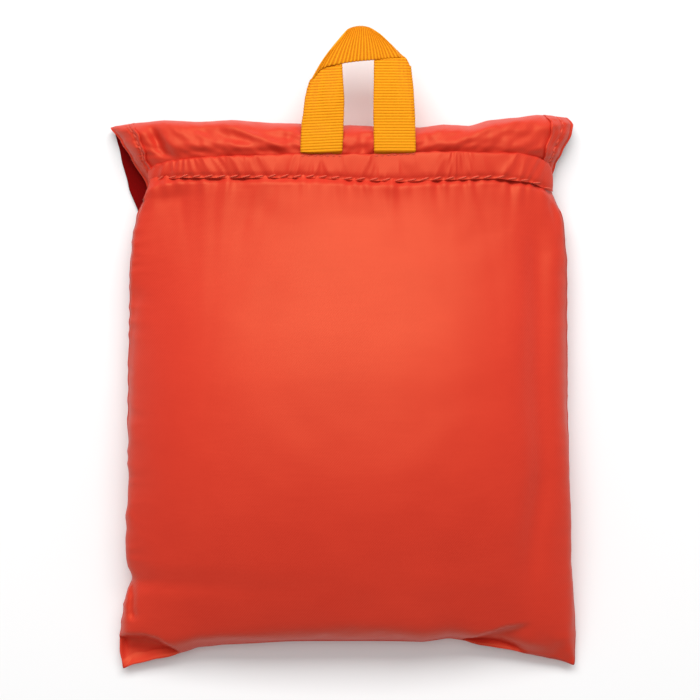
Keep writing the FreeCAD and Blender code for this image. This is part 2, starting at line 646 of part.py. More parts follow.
def buckle_socket():
    """The female half of a side-release buckle: a flat box, open at its mouth and at both sides."""
    x0, x1 = across(BUCKLE_X, BUCKLE_WIDTH)
    z0, z1 = BUCKLE_Z, BUCKLE_Z + BUCKLE_THICK
    end = BUCKLE_Y + BUCKLE_LENGTH
    body = block(x0, x1, BUCKLE_Y, end, z0, z1)
    room = block(x0 + BUCKLE_WALL, x1 - BUCKLE_WALL, end - PLUG_PRONG - PRONG_END_GAP, end + 1,
                 z0 + BUCKLE_WALL, z1 - BUCKLE_WALL)
    window = block(x0 - 1, x1 + 1, end - WINDOW_START, end - WINDOW_END, z0 + BUCKLE_WALL, z1 - BUCKLE_WALL)
    bar = BUCKLE_Y + BUCKLE_BAR
    slot = block(x0 + BUCKLE_SIDE, x1 - BUCKLE_SIDE, bar, bar + BUCKLE_SLOT, z0 - 1, z1 + 1)
    return body.cut(room).cut(window).cut(slot)


def buckle_plug():
    """The male half: a web bar outside the socket, a guide and two prongs inside it."""
    slack = BUCKLE_SLACK
    mouth = BUCKLE_Y + BUCKLE_LENGTH
    x0, x1 = across(BUCKLE_X, BUCKLE_WIDTH)
    z0, z1 = BUCKLE_Z + BUCKLE_WALL + slack, BUCKLE_Z + BUCKLE_THICK - BUCKLE_WALL - slack
    head = block(x0, x1, mouth + HEAD_GAP, mouth + PLUG_HEAD, BUCKLE_Z + HEAD_INSET,
                 BUCKLE_Z + BUCKLE_THICK - HEAD_INSET)
    bar = mouth + PLUG_HEAD - BUCKLE_BAR
    plug = head.cut(block(x0 + BUCKLE_SIDE, x1 - BUCKLE_SIDE, bar - BUCKLE_SLOT, bar, BUCKLE_Z,
                          BUCKLE_Z + BUCKLE_THICK))
    inner0, inner1 = x0 + BUCKLE_WALL + slack, x1 - BUCKLE_WALL - slack
    prongs = ((inner0, inner0 + PRONG_WIDTH), (inner1 - PRONG_WIDTH, inner1))
    for a, b in prongs + (across(BUCKLE_X, GUIDE_WIDTH),):
        plug = plug.fuse(block(a, b, mouth - PLUG_PRONG, mouth + 1, z0, z1))
    return plug.removeSplitter()


def sternum_web(slot_y, direction):
    """Webbing that dips through a buckle slot and lies over the buckle's bar and beyond."""
    x0, x1 = across(BUCKLE_X, WEB_WIDTH)
    top = BUCKLE_Z + BUCKLE_THICK + BUCKLE_SLACK
    s0, s1 = slot_y - WEB_THICK / 2, slot_y + WEB_THICK / 2
    far = slot_y + direction * STERNUM_WEB_LENGTH
    dip = block(x0, x1, s0, s1, BUCKLE_Z + HEAD_INSET, top)
    return block(x0, x1, min(s0, far), max(s1, far), top, top + WEB_THICK).fuse(dip).removeSplitter()


def sternum_web_socket_side():
    return sternum_web(BUCKLE_Y + BUCKLE_BAR + BUCKLE_SLOT / 2, -1)


def sternum_web_plug_side():
    return sternum_web(BUCKLE_Y + BUCKLE_LENGTH + PLUG_HEAD - BUCKLE_BAR - BUCKLE_SLOT / 2, 1)


STRAP_END = CLOTH_TOP - STRAP_WEB_LENGTH + PAD_SHARE * ROOM_HEIGHT * (0.5 + PAD_TURN)
LOCK_Y = STRAP_END + LOCK_SLACK
LOCK_HALF = WEB_WIDTH / 2 + LOCK_SIDE


def lock_place(side):
    x = sum(strap_span(side)) / 2
    return x, floor_under(x - LOCK_HALF, x + LOCK_HALF, LOCK_Y, LOCK_Y + LOCK_LENGTH)


def lock_room():
    """The length of each of the lock's two slots."""
    return (LOCK_LENGTH - 3 * LOCK_BAR) / 2


def ladder_lock(side):
    """A ladder lock: a plate with three bars and two slots for the webbing."""
    x, z = lock_place(side)
    body = block(x - LOCK_HALF, x + LOCK_HALF, LOCK_Y, LOCK_Y + LOCK_LENGTH, z, z + LOCK_THICK)
    for i in range(2):
        y0 = LOCK_Y + LOCK_BAR + i * (lock_room() + LOCK_BAR)
        x0, x1 = across(x, WEB_WIDTH + 2 * LOCK_SLACK)
        body = body.cut(block(x0, x1, y0, y0 + lock_room(), z - 1, z + LOCK_THICK + 1))
    return body


def strap_webbing(side):
    """The strap's webbing: it dips through the lock's far slot and lies over the far bar and beyond."""
    x, z = lock_place(side)
    x0, x1 = across(x, WEB_WIDTH)
    slot = LOCK_Y + 2 * LOCK_BAR + 1.5 * lock_room()
    top = z + LOCK_THICK + BUCKLE_SLACK
    run = block(x0, x1, slot - STRAP_WEB_THICK / 2, CLOTH_TOP - WEB_END_INSET, top,
                top + STRAP_WEB_THICK)
    dip = block(x0, x1, slot - STRAP_WEB_THICK / 2, slot + STRAP_WEB_THICK / 2, z + LOCK_DIP, top)
    return run.fuse(dip).removeSplitter()


def haul_loop():
    """The daypack's own grab loop, pressed flat beyond the zip's end."""
    x0, x1 = across(ZIP_X, HAUL_WIDTH)
    y0 = ZIP_Y + ZIP_LENGTH + FITTING_GAP
    z0 = floor_under(x0, x1, y0, y0 + HAUL_LENGTH)
    outer = block(x0, x1, y0, y0 + HAUL_LENGTH, z0, z0 + WEB_THICK)
    hole = block(x0 + HAUL_BAND, x1 - HAUL_BAND, y0 + HAUL_ROOT, y0 + HAUL_LENGTH - HAUL_BAND, z0 - 1,
                 z0 + WEB_THICK + 1)
    return outer.cut(hole)


# ---------------------------------------------------------------- writing the parts
def parts():
    made = {
        "front_panel": front_panel(),
        "back_panel": back_panel(),
        "top_flap": top_flap(),
        "mouth_casing": mouth_casing(),
        "mouth_elastic": mouth_elastic(),
        "carry_loop": carry_loop(),
        "carry_loop_ends": loop_ends(),
        "pack_back_panel": cloth_stack(0.0, BACK_RUNS),
        "pack_gusset": cloth_stack(stack_height(BACK_RUNS), GUSSET_RUNS),
        "pack_front_panel": cloth_stack(FRONT_BASE, FRONT_RUNS),
        "pack_front_pocket": pocket_patch(),
        "zip_tapes": zip_tapes(),
        "zip_coil": zip_coil(),
        "zip_slider": zip_slider(),
        "zip_puller": zip_puller(),
        "buckle_socket": buckle_socket(),
        "buckle_plug": buckle_plug(),
        "sternum_web_socket_side": sternum_web_socket_side(),
        "sternum_web_plug_side": sternum_web_plug_side(),
        "haul_loop": haul_loop(),
    }
    for name, side in (("left", -1), ("right", 1)):
        made[f"seam_binding_{name}"] = seam_binding(side)
        made[f"shoulder_strap_{name}"] = shoulder_strap(side)
        made[f"ladder_lock_{name}"] = ladder_lock(side)
        made[f"strap_webbing_{name}"] = strap_webbing(side)
    return made


os.makedirs("parts", exist_ok=True)
for name, shape in parts().items():
    shape.exportStep(f"parts/{name}.step")
    box = shape.BoundBox
    spans = f"x {box.XMin:7.1f} {box.XMax:7.1f}  y {box.YMin:7.1f} {box.YMax:7.1f}  z {box.ZMin:6.2f} {box.ZMax:6.2f}"
    print(f"{name:26s} solids {len(shape.Solids)} valid {shape.isValid()} volume {shape.Volume:10.1f} {spans}")
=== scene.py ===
"""A packable daypack, folded up inside its own nylon pouch, lying on its back.

The CAD frame gives every place and size. This script makes the cloth, the webbing and the stitches over it.
"""

import bpy
import bmesh
import json
import math
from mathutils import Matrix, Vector, noise
from mathutils.bvhtree import BVHTree


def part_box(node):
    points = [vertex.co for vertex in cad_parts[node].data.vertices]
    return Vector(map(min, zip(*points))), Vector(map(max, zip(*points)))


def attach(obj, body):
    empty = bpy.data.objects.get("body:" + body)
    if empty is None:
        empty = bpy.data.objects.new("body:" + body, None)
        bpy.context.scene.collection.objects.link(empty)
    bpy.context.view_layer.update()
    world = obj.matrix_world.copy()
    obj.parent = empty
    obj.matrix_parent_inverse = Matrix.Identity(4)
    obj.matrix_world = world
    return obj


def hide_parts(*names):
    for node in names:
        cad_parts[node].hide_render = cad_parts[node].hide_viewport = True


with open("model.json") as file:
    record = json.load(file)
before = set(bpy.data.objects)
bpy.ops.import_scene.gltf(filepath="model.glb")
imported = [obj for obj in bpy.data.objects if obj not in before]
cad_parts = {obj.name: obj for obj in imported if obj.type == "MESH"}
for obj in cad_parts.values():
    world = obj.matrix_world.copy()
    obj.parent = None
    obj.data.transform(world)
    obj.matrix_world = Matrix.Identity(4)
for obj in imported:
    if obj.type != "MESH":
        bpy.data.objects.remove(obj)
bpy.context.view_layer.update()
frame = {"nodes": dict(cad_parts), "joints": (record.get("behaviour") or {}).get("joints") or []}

MM = 0.001

# ---------------------------------------------------------------- camera
camera_data = bpy.data.cameras.new("camera")
camera_data.lens = 100
camera_data.sensor_width = 36
camera = bpy.data.objects.new("camera", camera_data)
bpy.context.scene.collection.objects.link(camera)
SEEN_WIDTH = 346.5 * MM                 # what the camera sees across, at half the pouch's height
SEEN_MIDDLE = Vector((1.98, -0.74, 20.0)) * MM
camera.location = SEEN_MIDDLE + Vector((0, 0, SEEN_WIDTH * camera_data.lens / camera_data.sensor_width))
bpy.context.scene.camera = camera

# ---------------------------------------------------------------- places from the frame
front_low, front_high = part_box("front_panel")
casing_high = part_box("mouth_casing")[1]
loop_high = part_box("carry_loop")[1]
pivot = [Vector(j["pos_m"]) for j in frame["joints"] if j["name"] == "carry_loop_turn"][0]

BOTTOM_Y = front_low.y
STITCH_Y = front_high.y
HEM_TOP_Z = casing_high.z
LOOP_TOP_Y = loop_high.y

# ---------------------------------------------------------------- sizes of the cloth
PATTERN_WIDTH = 231 * MM        # the pouch's cut width between its side seams
PATTERN_LENGTH = 246 * MM       # bottom edge to the hem's stitch line, over the filling
SEAM_TOP = 0.93                 # above this share of the length the side seams are turned under
GRID_ACROSS = 88
GRID_ALONG = 94
CLOTH_THICK = 0.35 * MM
CLOTH_SUNK = 0.7 * MM           # how far the front may lie below its node's own surface
MIDDLE_X = 0.9 * MM             # the filled pouch lies a little off the corners' middle

# the pouch as the simulation starts
HALF_WIDTH = 108.5 * MM
BOTTOM_ARCH = 13.5 * MM         # how far the bottom edge is drawn in between its corners
BOTTOM_RISE = 11 * MM           # how far the bottom seam is lifted off the floor in the middle
SEAM_LOW = 1.6 * MM             # height of the side seams at the bottom corners
SEAM_HIGH = 15 * MM             # and from half their length on
FILL_HEIGHT = 39 * MM           # of the filling above the seams
# stiff along its yarns, soft to bend, and pushed out by the filling
LIGHT_NYLON = {"quality": 8, "mass": 0.3, "tension_stiffness": 40, "compression_stiffness": 25, "shear_stiffness": 8,
               "bending_stiffness": 0.02, "air_damping": 1.0, "use_pressure": True, "uniform_pressure_force": 4}
SEAM_SHRINK = 0.04              # the side seams are gathered by their stitches
SIM_FRAMES = 14

# the mouth and its hem
MOUTH_LEFT, MOUTH_RIGHT = -97.5 * MM, 102.0 * MM
MOUTH_END_Z = 9.5 * MM          # height of the hem at the mouth's two ends
MOUTH_RISE = HEM_TOP_Z - 10.5 * MM
STITCH_DIP = 2.6 * MM           # the filling draws the stitch line and the hem's crest down in the middle
HEM_DIP = 1.6 * MM
HEM_THICK = 1.35 * MM           # half the hem's thickness over its elastic
ELASTIC_THICK = 0.5 * MM
BINDING_THICK = 0.6 * MM

# stitches: the radii are those of the thread as it lies on the cloth
STITCH_PITCH = 6.2 * MM
STITCH_LONG = 4.3 * MM
STITCH_START, STITCH_END = -95 * MM, 101 * MM
HEM_THREAD = 0.43 * MM
FLAP_THREAD = 0.34 * MM
BASE_THREAD = 0.28 * MM
OFF_CLOTH_Z = 20 * MM           # height of a stitch's end that misses the cloth

# the carry loop
LEG_MIDDLES = (-12.0, 23.8)     # x of its two legs, in mm
LEGS_TO = 133                   # y that their ends are near, in mm
WEB_WIDE = 20 * MM
WEB_THICK = loop_high.z - pivot.z
RIB_PITCH = 1.4 * MM
RIB_DEEP = 0.2 * MM
RIBS_ACROSS = 26                # ribs in the piece across the top

# outlines, in mm: the sides as (y, x), the other edges as (x, y)
LEFT_SIDE = ((-160, -112.6), (-148, -114.1), (-141, -113.5), (-133, -112.4), (-125, -111.0), (-120, -110.3),
             (-116.5, -107.6), (-114, -106.6), (-111.5, -107.6), (-105, -109.9), (-85, -109.4),
             (-65, -108.4), (-25, -108.4), (44, -107.4), (54, -106.4), (64, -104.9), (74, -101.5), (84, -98.4))
RIGHT_SIDE = ((-160, 114.9), (-144, 115.3), (-134, 114.9), (-124, 113.9), (-105, 112.4), (-85, 111.9),
              (-65, 110.9), (-25, 109.9), (44, 109.9), (54, 108.9), (64, 108.4), (74, 104.8), (84, 103.4))
BOTTOM_EDGE = ((-113, -160.1), (-104, -158.2), (-92, -155.2), (-80, -151.7), (-74, -149.3), (-68, -148.8),
               (-62, -147.8), (-44, -146.8), (-20, -146.3), (33, -146.8), (45, -145.3), (51, -144.3), (57, -145.3),
               (68, -148.3), (80, -150.2), (92, -153.2), (104, -156.2), (115, -158.7))
STITCH_LINE = ((-98, 81.6), (-91.5, 84.6), (-80, 85.8), (-18, 85.9), (14, 84.4), (27, 84.1), (48, 84.9),
               (73, 85.6), (90, 83.6), (103, 78.6))
HEM_LINE = ((-98, 90.0), (-93, 92.0), (-85, 93.8), (-65, 95.3), (-22, 96.3), (15, 96.3), (42, 97.6), (85, 97.0),
            (92, 96.0), (97, 94.4), (100.5, 92.4), (102.2, 90.0), (103, 86.5))
FOLD_LINE = ((-116, 110.6), (-110, 111.8), (-98, 113.3), (-86, 114.0), (-68, 113.1), (-53, 113.9), (-33, 112.4),
             (0, 111.2), (38, 110.2), (50, 111.6), (62, 111.2), (74, 114.2), (86, 115.4), (98, 117.0), (104, 116.8),
             (110, 116.2))
# the flap's sides, above and below, as (y, x)
FLAP_LEFT = ((60, -90), (82, -99), (95.3, -106.4), (103.5, -111.4), (111, -117.0))
FLAP_RIGHT = ((60, 92), (80, 100), (92.3, 103.9), (97.8, 106.8), (107.2, 111.6), (112.0, 112.4), (116, 110.4))
UNDER_LEFT = ((60, -102), (67.6, -104.5), (82, -109.8), (97, -113.6), (111, -117.0))
UNDER_RIGHT = ((60, 96), (67, 99), (82, 102), (97, 106), (111, 111), (115, 108.9))
# creases over the bottom corners, as (x, y): the cloth below them lies flat
RIGHT_EAR = ((53, -148), (60, -142.8), (70, -139.5), (80, -136.3), (92, -134), (118, -134))
LEFT_EAR = ((-118, -144), (-108, -141.6), (-101, -141.3), (-94.6, -142.8), (-89.6, -145.8), (-82.7, -151.2))
# the loop: the two long edges of the piece across the top as (x, y), the legs' edges as (y, x), and the lines
# on which the legs end as (x, y)
CROSS_LOW = ((-17.0, 130.6), (-11.5, 136.6), (-2.0, 139.0), (6, 140.2), (13.7, 140.9), (20.5, 141.7), (27.6, 142.2))
CROSS_HIGH = ((-1.2, 153.3), (1.3, 156.8), (4.2, 158.2), (7.4, 158.6), (10.6, 158.1), (13.2, 156.7), (16.0, 154.4))
LEFT_OUTER = ((95, -21.9), (109, -21.4), (115, -20.5), (121, -19.9), (126, -18.9), (129, -18.0), (131, -17.3))
LEFT_INNER = ((95, -2.0), (105, -1.5), (120, -1.0), (138, -2.0), (150, -2.0))
RIGHT_INNER = ((95, 13.9), (115, 13.5), (140, 13.9), (150, 13.9))
RIGHT_OUTER = ((95, 33.7), (112, 33.4), (125, 32.8), (138, 31.6))
LEFT_END = ((-17.3, 130.7), (-15.2, 133.6), (-11.7, 138.0), (-2.0, 148.0))
RIGHT_END = ((13.8, 148), (22, 148), (25.0, 146.2), (27.4, 144.0), (29.2, 142.2), (30.6, 140.6), (31.6, 138.0))


def clamp(t):
    """t kept between 0 and 1."""
    return min(max(t, 0.0), 1.0)


def smooth(t):
    """0 to 1 as t goes from 0 to 1, level at both ends."""
    t = clamp(t)
    return t * t * (3 - 2 * t)


def mix(a, b, t):
    """From a to b as t goes from 0 to 1."""
    return a + (b - a) * t


def bell(distance, width):
    """1 at no distance, fading to both sides over about a width."""
    return math.exp(-(distance / width) ** 2)


def fading(distance, reach):
    """1 up to a place, fading beyond it over about a reach."""
    return math.exp(-max(distance, 0) / reach)


def arch(u):
    """1 in the middle, falling to 0 at u of -1 and 1, steeply at the ends."""
    return (1 - min(abs(u), 1.0) ** 3.0) ** 0.6


def rounded(value, power):
    """A sine or cosine made squarer, with its sign kept."""
    return math.copysign(abs(value) ** power, value)


def surface_under(tree, x, y):
    """The highest point of a surface at (x, y), or None."""
    return tree.ray_cast(Vector((x, y, 1.0)), Vector((0, 0, -1)))[0]


def through(points, t):
    """A smooth curve through a few points of equal step, at share t of the way: Catmull-Rom."""
    last = len(points) - 1
    k = min(int(clamp(t) * last), last - 1)
    f = clamp(t) * last - k
    p0, p1, p2, p3 = (points[min(max(k + d, 0), last)] for d in (-1, 0, 1, 2))
    return tuple(0.5 * (2 * b + (c - a) * f + (2 * a - 5 * b + 4 * c - d) * f ** 2
                        + (3 * b - a - 3 * c + d) * f ** 3) for a, b, c, d in zip(p0, p1, p2, p3))


def height_over(table, x):
    """The second number of a table of (x, value) points, smoothly interpolated at x."""
    if x <= table[0][0]:
        return table[0][1]
    for (x0, y0), (x1, y1) in zip(table, table[1:]):
        if x <= x1:
            return mix(y0, y1, smooth((x - x0) / (x1 - x0)) * 0.5 + (x - x0) / (x1 - x0) * 0.5)
    return table[-1][1]


def wave(x, y, size, seed):
    """Soft noise between about -1 and 1 whose lumps are size across; seed picks the pattern."""
    return noise.noise(Vector((x / size, y / size, seed * 7.31)))


def ridge(x, y, size, seed):
    """Noise with sharp valleys, as pressed pleats have."""
    return 1 - 3 * abs(wave(x, y, size, seed)) ** 0.8


# ---------------------------------------------------------------- making meshes
def grid_mesh(name, across, along, place, wrap=False, ribs=None):
    """A grid of across by along faces, each corner put by place(u, v) with u and v from 0 to 1.

    With ribs, a function of u and v, the grid gets a UV map that counts a webbing's ribs upwards.
    """
    bm = bmesh.new()
    bmesh.ops.create_grid(bm, x_segments=across, y_segments=along, size=0.5)
    if ribs:
        layer = bm.loops.layers.uv.new("ribs")
        for face in bm.faces:
            for corner in face.loops:
                u, v = corner.vert.co.x + 0.5, corner.vert.co.y + 0.5
                corner[layer].uv = (u, ribs(u, v))
    for vert in bm.verts:
        vert.co = place(vert.co.x + 0.5, vert.co.y + 0.5)
    if wrap:
        bmesh.ops.remove_doubles(bm, verts=bm.verts, dist=1e-7)
    return finish_mesh(name, bm)


def finish_mesh(name, bm):
    """The bmesh as a smooth-shaded object whose faces point outwards."""
    bmesh.ops.recalc_face_normals(bm, faces=bm.faces)
    mesh = bpy.data.meshes.new(name)
    bm.to_mesh(mesh)
    bm.free()
    for face in mesh.polygons:
        face.use_smooth = True
    obj = bpy.data.objects.new(name, mesh)
    bpy.context.scene.collection.objects.link(obj)
    return obj


def add_modifier(obj, kind, **settings):
    """Puts a modifier with its settings on a piece."""
    modifier = obj.modifiers.new(kind.title(), kind)
    for key, value in settings.items():
        setattr(modifier, key, value)


def apply_modifiers(obj):
    """Makes the modifiers part of the mesh, and leaves no shape keys."""
    bpy.context.view_layer.update()
    made = bpy.data.meshes.new_from_object(obj.evaluated_get(bpy.context.evaluated_depsgraph_get()))
    obj.modifiers.clear()
    old = obj.data
    obj.data = made
    bpy.data.meshes.remove(old)


# ---------------------------------------------------------------- the pouch
def mouth_x(u):
    """X of the mouth at u from -1 to 1."""
    return mix(MOUTH_LEFT, MOUTH_RIGHT, (u + 1) / 2)


def mouth_u(x):
    """The other way round: u of the mouth at x."""
    return (x - MOUTH_LEFT) / (MOUTH_RIGHT - MOUTH_LEFT) * 2 - 1


def mouth_z(u):
    """Height of the hem's middle at u from -1 to 1."""
    return MOUTH_END_Z + MOUTH_RISE * arch(u)


def stitch_y(x):
    """Y of the hem's stitch line at x."""
    return height_over(STITCH_LINE, x / MM) * MM - STITCH_DIP * arch(mouth_u(x))


def hem_y(x):
    """Y of the hem's crest at x."""
    return height_over(HEM_LINE, x / MM) * MM - HEM_DIP * arch(mouth_u(x))


def side_x(table, y):
    """X of an edge, given as a table of (y, x) in mm, at y."""
    return height_over(table, y / MM) * MM


def gathers(x, away):
    """Height of the gathers at a distance from the hem's stitch line: tight at it, and wider further off."""
    lean = x + 0.5 * away * wave(x, 0, 25 * MM, 2)
    between = math.cos(2 * math.pi * (x - STITCH_START) / STITCH_PITCH)
    tight = (between * (0.6 + 0.6 * wave(x, 0, 9 * MM, 5)) * fading(away, 4.5 * MM)
             + 0.5 * ridge(lean, away * 0.15, 6 * MM, 1) * fading(away, 7 * MM))
    middle = wave(lean, away * 0.2, 6 * MM, 3) * fading(away, 11 * MM)
    wide = wave(lean, away * 0.2, 14 * MM, 4) * fading(away, 24 * MM)
    return (1.2 * tight + 1.5 * middle + 1.3 * wide) * MM


def pouch_start(u, v, side):
    """Where the simulation starts: the pouch filled about as far as the frame says."""
    flare = 6 * MM * math.exp(-v / 0.12)
    draw_in = 7.5 * MM * smooth((v - 0.86) / 0.14)
    x = MIDDLE_X + u * (HALF_WIDTH + flare - draw_in)
    bottom = BOTTOM_Y + BOTTOM_ARCH * (1 - abs(u) ** 3)
    y = mix(bottom, STITCH_Y, v)
    seam = mix(SEAM_LOW, SEAM_HIGH, smooth(v / 0.5)) + BOTTOM_RISE * (1 - u * u) * (1 - v) ** 4
    across = (1 - abs(u) ** 2.6) ** 0.8
    up = (1 - (1 - min(v / 0.5, 1.0)) ** 2.6) ** 0.75
    if side > 0:
        z = seam + FILL_HEIGHT * across * up * mix(1.0, 0.5, smooth((v - 0.55) / 0.45))
        top = smooth((v - 0.9) / 0.1)
        x = mix(x, mouth_x(u), top)
        y = mix(y, stitch_y(mouth_x(u)), top)
        z = mix(z, mouth_z(u), top)
    else:
        flat = (1 - abs(u) ** 6) * (1 - (1 - v) ** 14)
        z = mix(seam, 0.6 * MM, flat)
        if v > SEAM_TOP:
            z = mix(z, 0.8 * MM, smooth((v - SEAM_TOP) / (1 - SEAM_TOP)))
    return Vector((x, y, z))


def pouch_pattern():
    """Front and back as one mesh of (u, v, side) points, joined along the sides and the bottom."""
    bm = bmesh.new()
    for side in (1, -1):
        own = set(bmesh.ops.create_grid(bm, x_segments=GRID_ACROSS, y_segments=GRID_ALONG, size=0.5)["verts"])
        for vert in own:
            u, v = vert.co.x * 2, vert.co.y + 0.5
            at_seam = v < 1e-4 or (abs(u) > 0.9999 and v < SEAM_TOP)
            vert.co = Vector((u, v, 0 if at_seam else side))
        if side < 0:
            bmesh.ops.reverse_faces(bm, faces=[f for f in bm.faces if own.issuperset(f.verts)])
    bmesh.ops.remove_doubles(bm, verts=bm.verts, dist=1e-5)
    return bm


def simulate_pouch():
    """The pouch's two panels, swollen a little from their start by the filling, with the cloth's own lengths.

    The mouth is pinned to the hem, and the middle of the back to the floor.
    """
    bm = pouch_pattern()
    bm.verts.ensure_lookup_table()
    places = [v.co.copy() for v in bm.verts]
    for vert in bm.verts:
        u, v, side = places[vert.index]
        if side:
            vert.co = pouch_start(u, v, side)
        else:
            vert.co = (pouch_start(u, v, 1) + pouch_start(u, v, -1)) / 2
    bmesh.ops.holes_fill(bm, edges=[e for e in bm.edges if e.is_boundary], sides=0)
    bmesh.ops.recalc_face_normals(bm, faces=bm.faces)
    mesh = bpy.data.meshes.new("pouch")
    bm.to_mesh(mesh)
    bm.free()
    obj = bpy.data.objects.new("pouch", mesh)
    bpy.context.scene.collection.objects.link(obj)
    obj.shape_key_add(name="Basis")
    cut = obj.shape_key_add(name="cut")
    pins = obj.vertex_groups.new(name="pins")
    for i, (u, v, side) in enumerate(places):
        gathered = 1 - SEAM_SHRINK * abs(u) ** 10
        cut.data[i].co = Vector((u * PATTERN_WIDTH / 2, v * PATTERN_LENGTH * gathered, 0))
        in_hem = v > 0.9999 or (abs(u) > 0.9999 and v > SEAM_TOP)
        on_ground = side < 0 and abs(u) < 0.45 and 0.3 < v
        if in_hem or on_ground:
            pins.add([i], 1.0, "REPLACE")
    cloth = obj.modifiers.new("Cloth", "CLOTH")
    for key, value in dict(LIGHT_NYLON, rest_shape_key=cut, vertex_group_mass="pins").items():
        setattr(cloth.settings, key, value)
    cloth.settings.effector_weights.gravity = 0
    cloth.point_cache.frame_start = 1
    cloth.point_cache.frame_end = SIM_FRAMES
    for step in range(1, SIM_FRAMES + 1):
        bpy.context.scene.frame_set(step)
    apply_modifiers(obj)
    bpy.context.scene.frame_set(1)
    return obj, places


def panel_grids():
    """The simulated pouch as two tables of points, {(column, row): place}, one a panel."""
    both, places = simulate_pouch()
    grids = ({}, {})
    for vert in both.data.vertices:
        u, v, side = places[vert.index]
        key = (round((u + 1) / 2 * GRID_ACROSS), round(v * GRID_ALONG))
        for grid, wanted in zip(grids, (1, -1)):
            if side * wanted >= 0:
                grid[key] = vert.co.copy()
    bpy.data.objects.remove(both)
    return grids


def rows_of_edge(grids, along_axis, across_axis, step, pick):
    """The outermost point of the panels in each slice along one axis, as a table."""
    found = {}
    for grid in grids:
        for co in grid.values():
            k = round(co[along_axis] / step)
            value = co[across_axis]
            found[k] = value if k not in found else pick(found[k], value)
    keys = sorted(found)
    return [(k * step, sum(found[j] for j in keys if abs(j - k) <= 1) / sum(abs(j - k) <= 1 for j in keys))
            for k in keys]


def fit_outline(grids):
    """Moves the swollen panels sideways and at the bottom so that they end on the pouch's outlines."""
    step = 4 * MM
    left = rows_of_edge(grids, 1, 0, step, min)
    right = rows_of_edge(grids, 1, 0, step, max)
    for grid in grids:
        for co in grid.values():
            x0, x1 = height_over(left, co.y), height_over(right, co.y)
            share = clamp((co.x - x0) / (x1 - x0))
            fitted = mix(side_x(LEFT_SIDE, co.y), side_x(RIGHT_SIDE, co.y), share)
            co.x = mix(fitted, co.x, smooth((co.y - 70 * MM) / (13 * MM)))      # by the mouth it is right already
    bottom = rows_of_edge(grids, 0, 1, step, min)
    for grid in grids:
        for co in grid.values():
            now = height_over(bottom, co.x)
            wanted = height_over(BOTTOM_EDGE, co.x / MM) * MM
            shift = min(max(wanted - now, -6 * MM), 6 * MM)
            co.y += shift * fading(co.y - now, 25 * MM)


def ear(x, y, points):
    """How far a place lies below a crease drawn through (x, y) points in mm, or 0 outside its ends."""
    if not points[0][0] * MM < x < points[-1][0] * MM:
        return 0.0
    return max(height_over(points, x / MM) * MM - y, 0.0)


def front_relief(x, y):
    """Height that the front panel's gathers, puckers and creases add at a place."""
    away = max(stitch_y(x) - y, 0.0)
    left = x - side_x(LEFT_SIDE, y)
    right = side_x(RIGHT_SIDE, y) - x

    # the gathers, and the stitches that draw the cloth down
    lift = gathers(x, away) + (3.4 * smooth(away / (3.0 * MM)) - 1.5) * MM * fading(away, 14 * MM)
    # the hollow below the hem's left end
    fall = 82.5 * MM + 0.16 * (x + 84 * MM) - y
    lift -= 3.2 * MM * bell(x + 85 * MM, 15 * MM) * smooth(fall / (9 * MM)) * fading(fall - 9 * MM, 22 * MM)
    # puckers along both side seams
    pucker = ridge(0.3 * x, y, 6.0 * MM, 11) + 0.7 * wave(0, y, 9 * MM, 12)
    lift += 0.9 * MM * pucker * fading(left, 5 * MM)
    lift += 0.45 * MM * ridge(0.3 * x, y, 8 * MM, 13) * fading(right, 5 * MM)
    # a short tuck above the left bottom corner
    tuck = x - (-106.5 * MM + 1.5 * MM * wave(0, y, 12 * MM, 18))
    lift -= (2.2 * MM * bell(tuck, 1.6 * MM) * smooth((y + 136 * MM) / (4 * MM))
             * smooth((-112 * MM - y) / (4 * MM)))
    # a slanted notch under the hem's right end
    lift -= 2.2 * MM * (bell(y - 74 * MM + 0.9 * (x - 106 * MM), 3 * MM) * fading(right, 7 * MM))
    # the long fold down the right side
    fold = bell(x - (93 * MM + 5 * MM * wave(0, y, 60 * MM, 14)), 6.5 * MM)
    lift -= 2.3 * MM * fold * smooth((72 * MM - y) / (30 * MM)) * smooth((y + 140 * MM) / (60 * MM))
    # the uneven filling
    lift += 0.5 * MM * wave(x, y, 38 * MM, 15) + 0.22 * MM * wave(x, y, 16 * MM, 16)
    # the flat corners; the right one's crease fades out towards the side
    for crease, share in ((RIGHT_EAR, 1 - smooth((x - 74 * MM) / (20 * MM))), (LEFT_EAR, 1)):
        under = ear(x, y, crease)
        lift -= 7.0 * MM * share * smooth(under / (4 * MM)) * smooth((y + 162 * MM) / (12 * MM))
    return lift


def sewn_edge(obj):
    """The points of a panel's outer edge that are sewn to the other panel: all but those by the mouth."""
    bm = bmesh.new()
    bm.from_mesh(obj.data)
    found = {v.index for v in bm.verts if v.is_boundary and v.co.y < stitch_y(v.co.x) - 9 * MM}
    bm.free()
    return found


def keep_over(obj, node, room):
    """Lifts the points of a cloth that lie below the node's upper surface by more than room, or more at the hem."""
    tree = BVHTree.FromObject(frame["nodes"][node], bpy.context.evaluated_depsgraph_get())
    sewn = sewn_edge(obj)
    for vert in obj.data.vertices:
        if vert.index in sewn:
            continue
        hit = surface_under(tree, vert.co.x, vert.co.y)
        sunk = room * mix(1.0, 2.6, smooth((vert.co.y - 76 * MM) / (7 * MM)))       # it dips to the hem's stitches
        if hit is not None and vert.co.z < hit.z - sunk:
            vert.co.z = hit.z - sunk


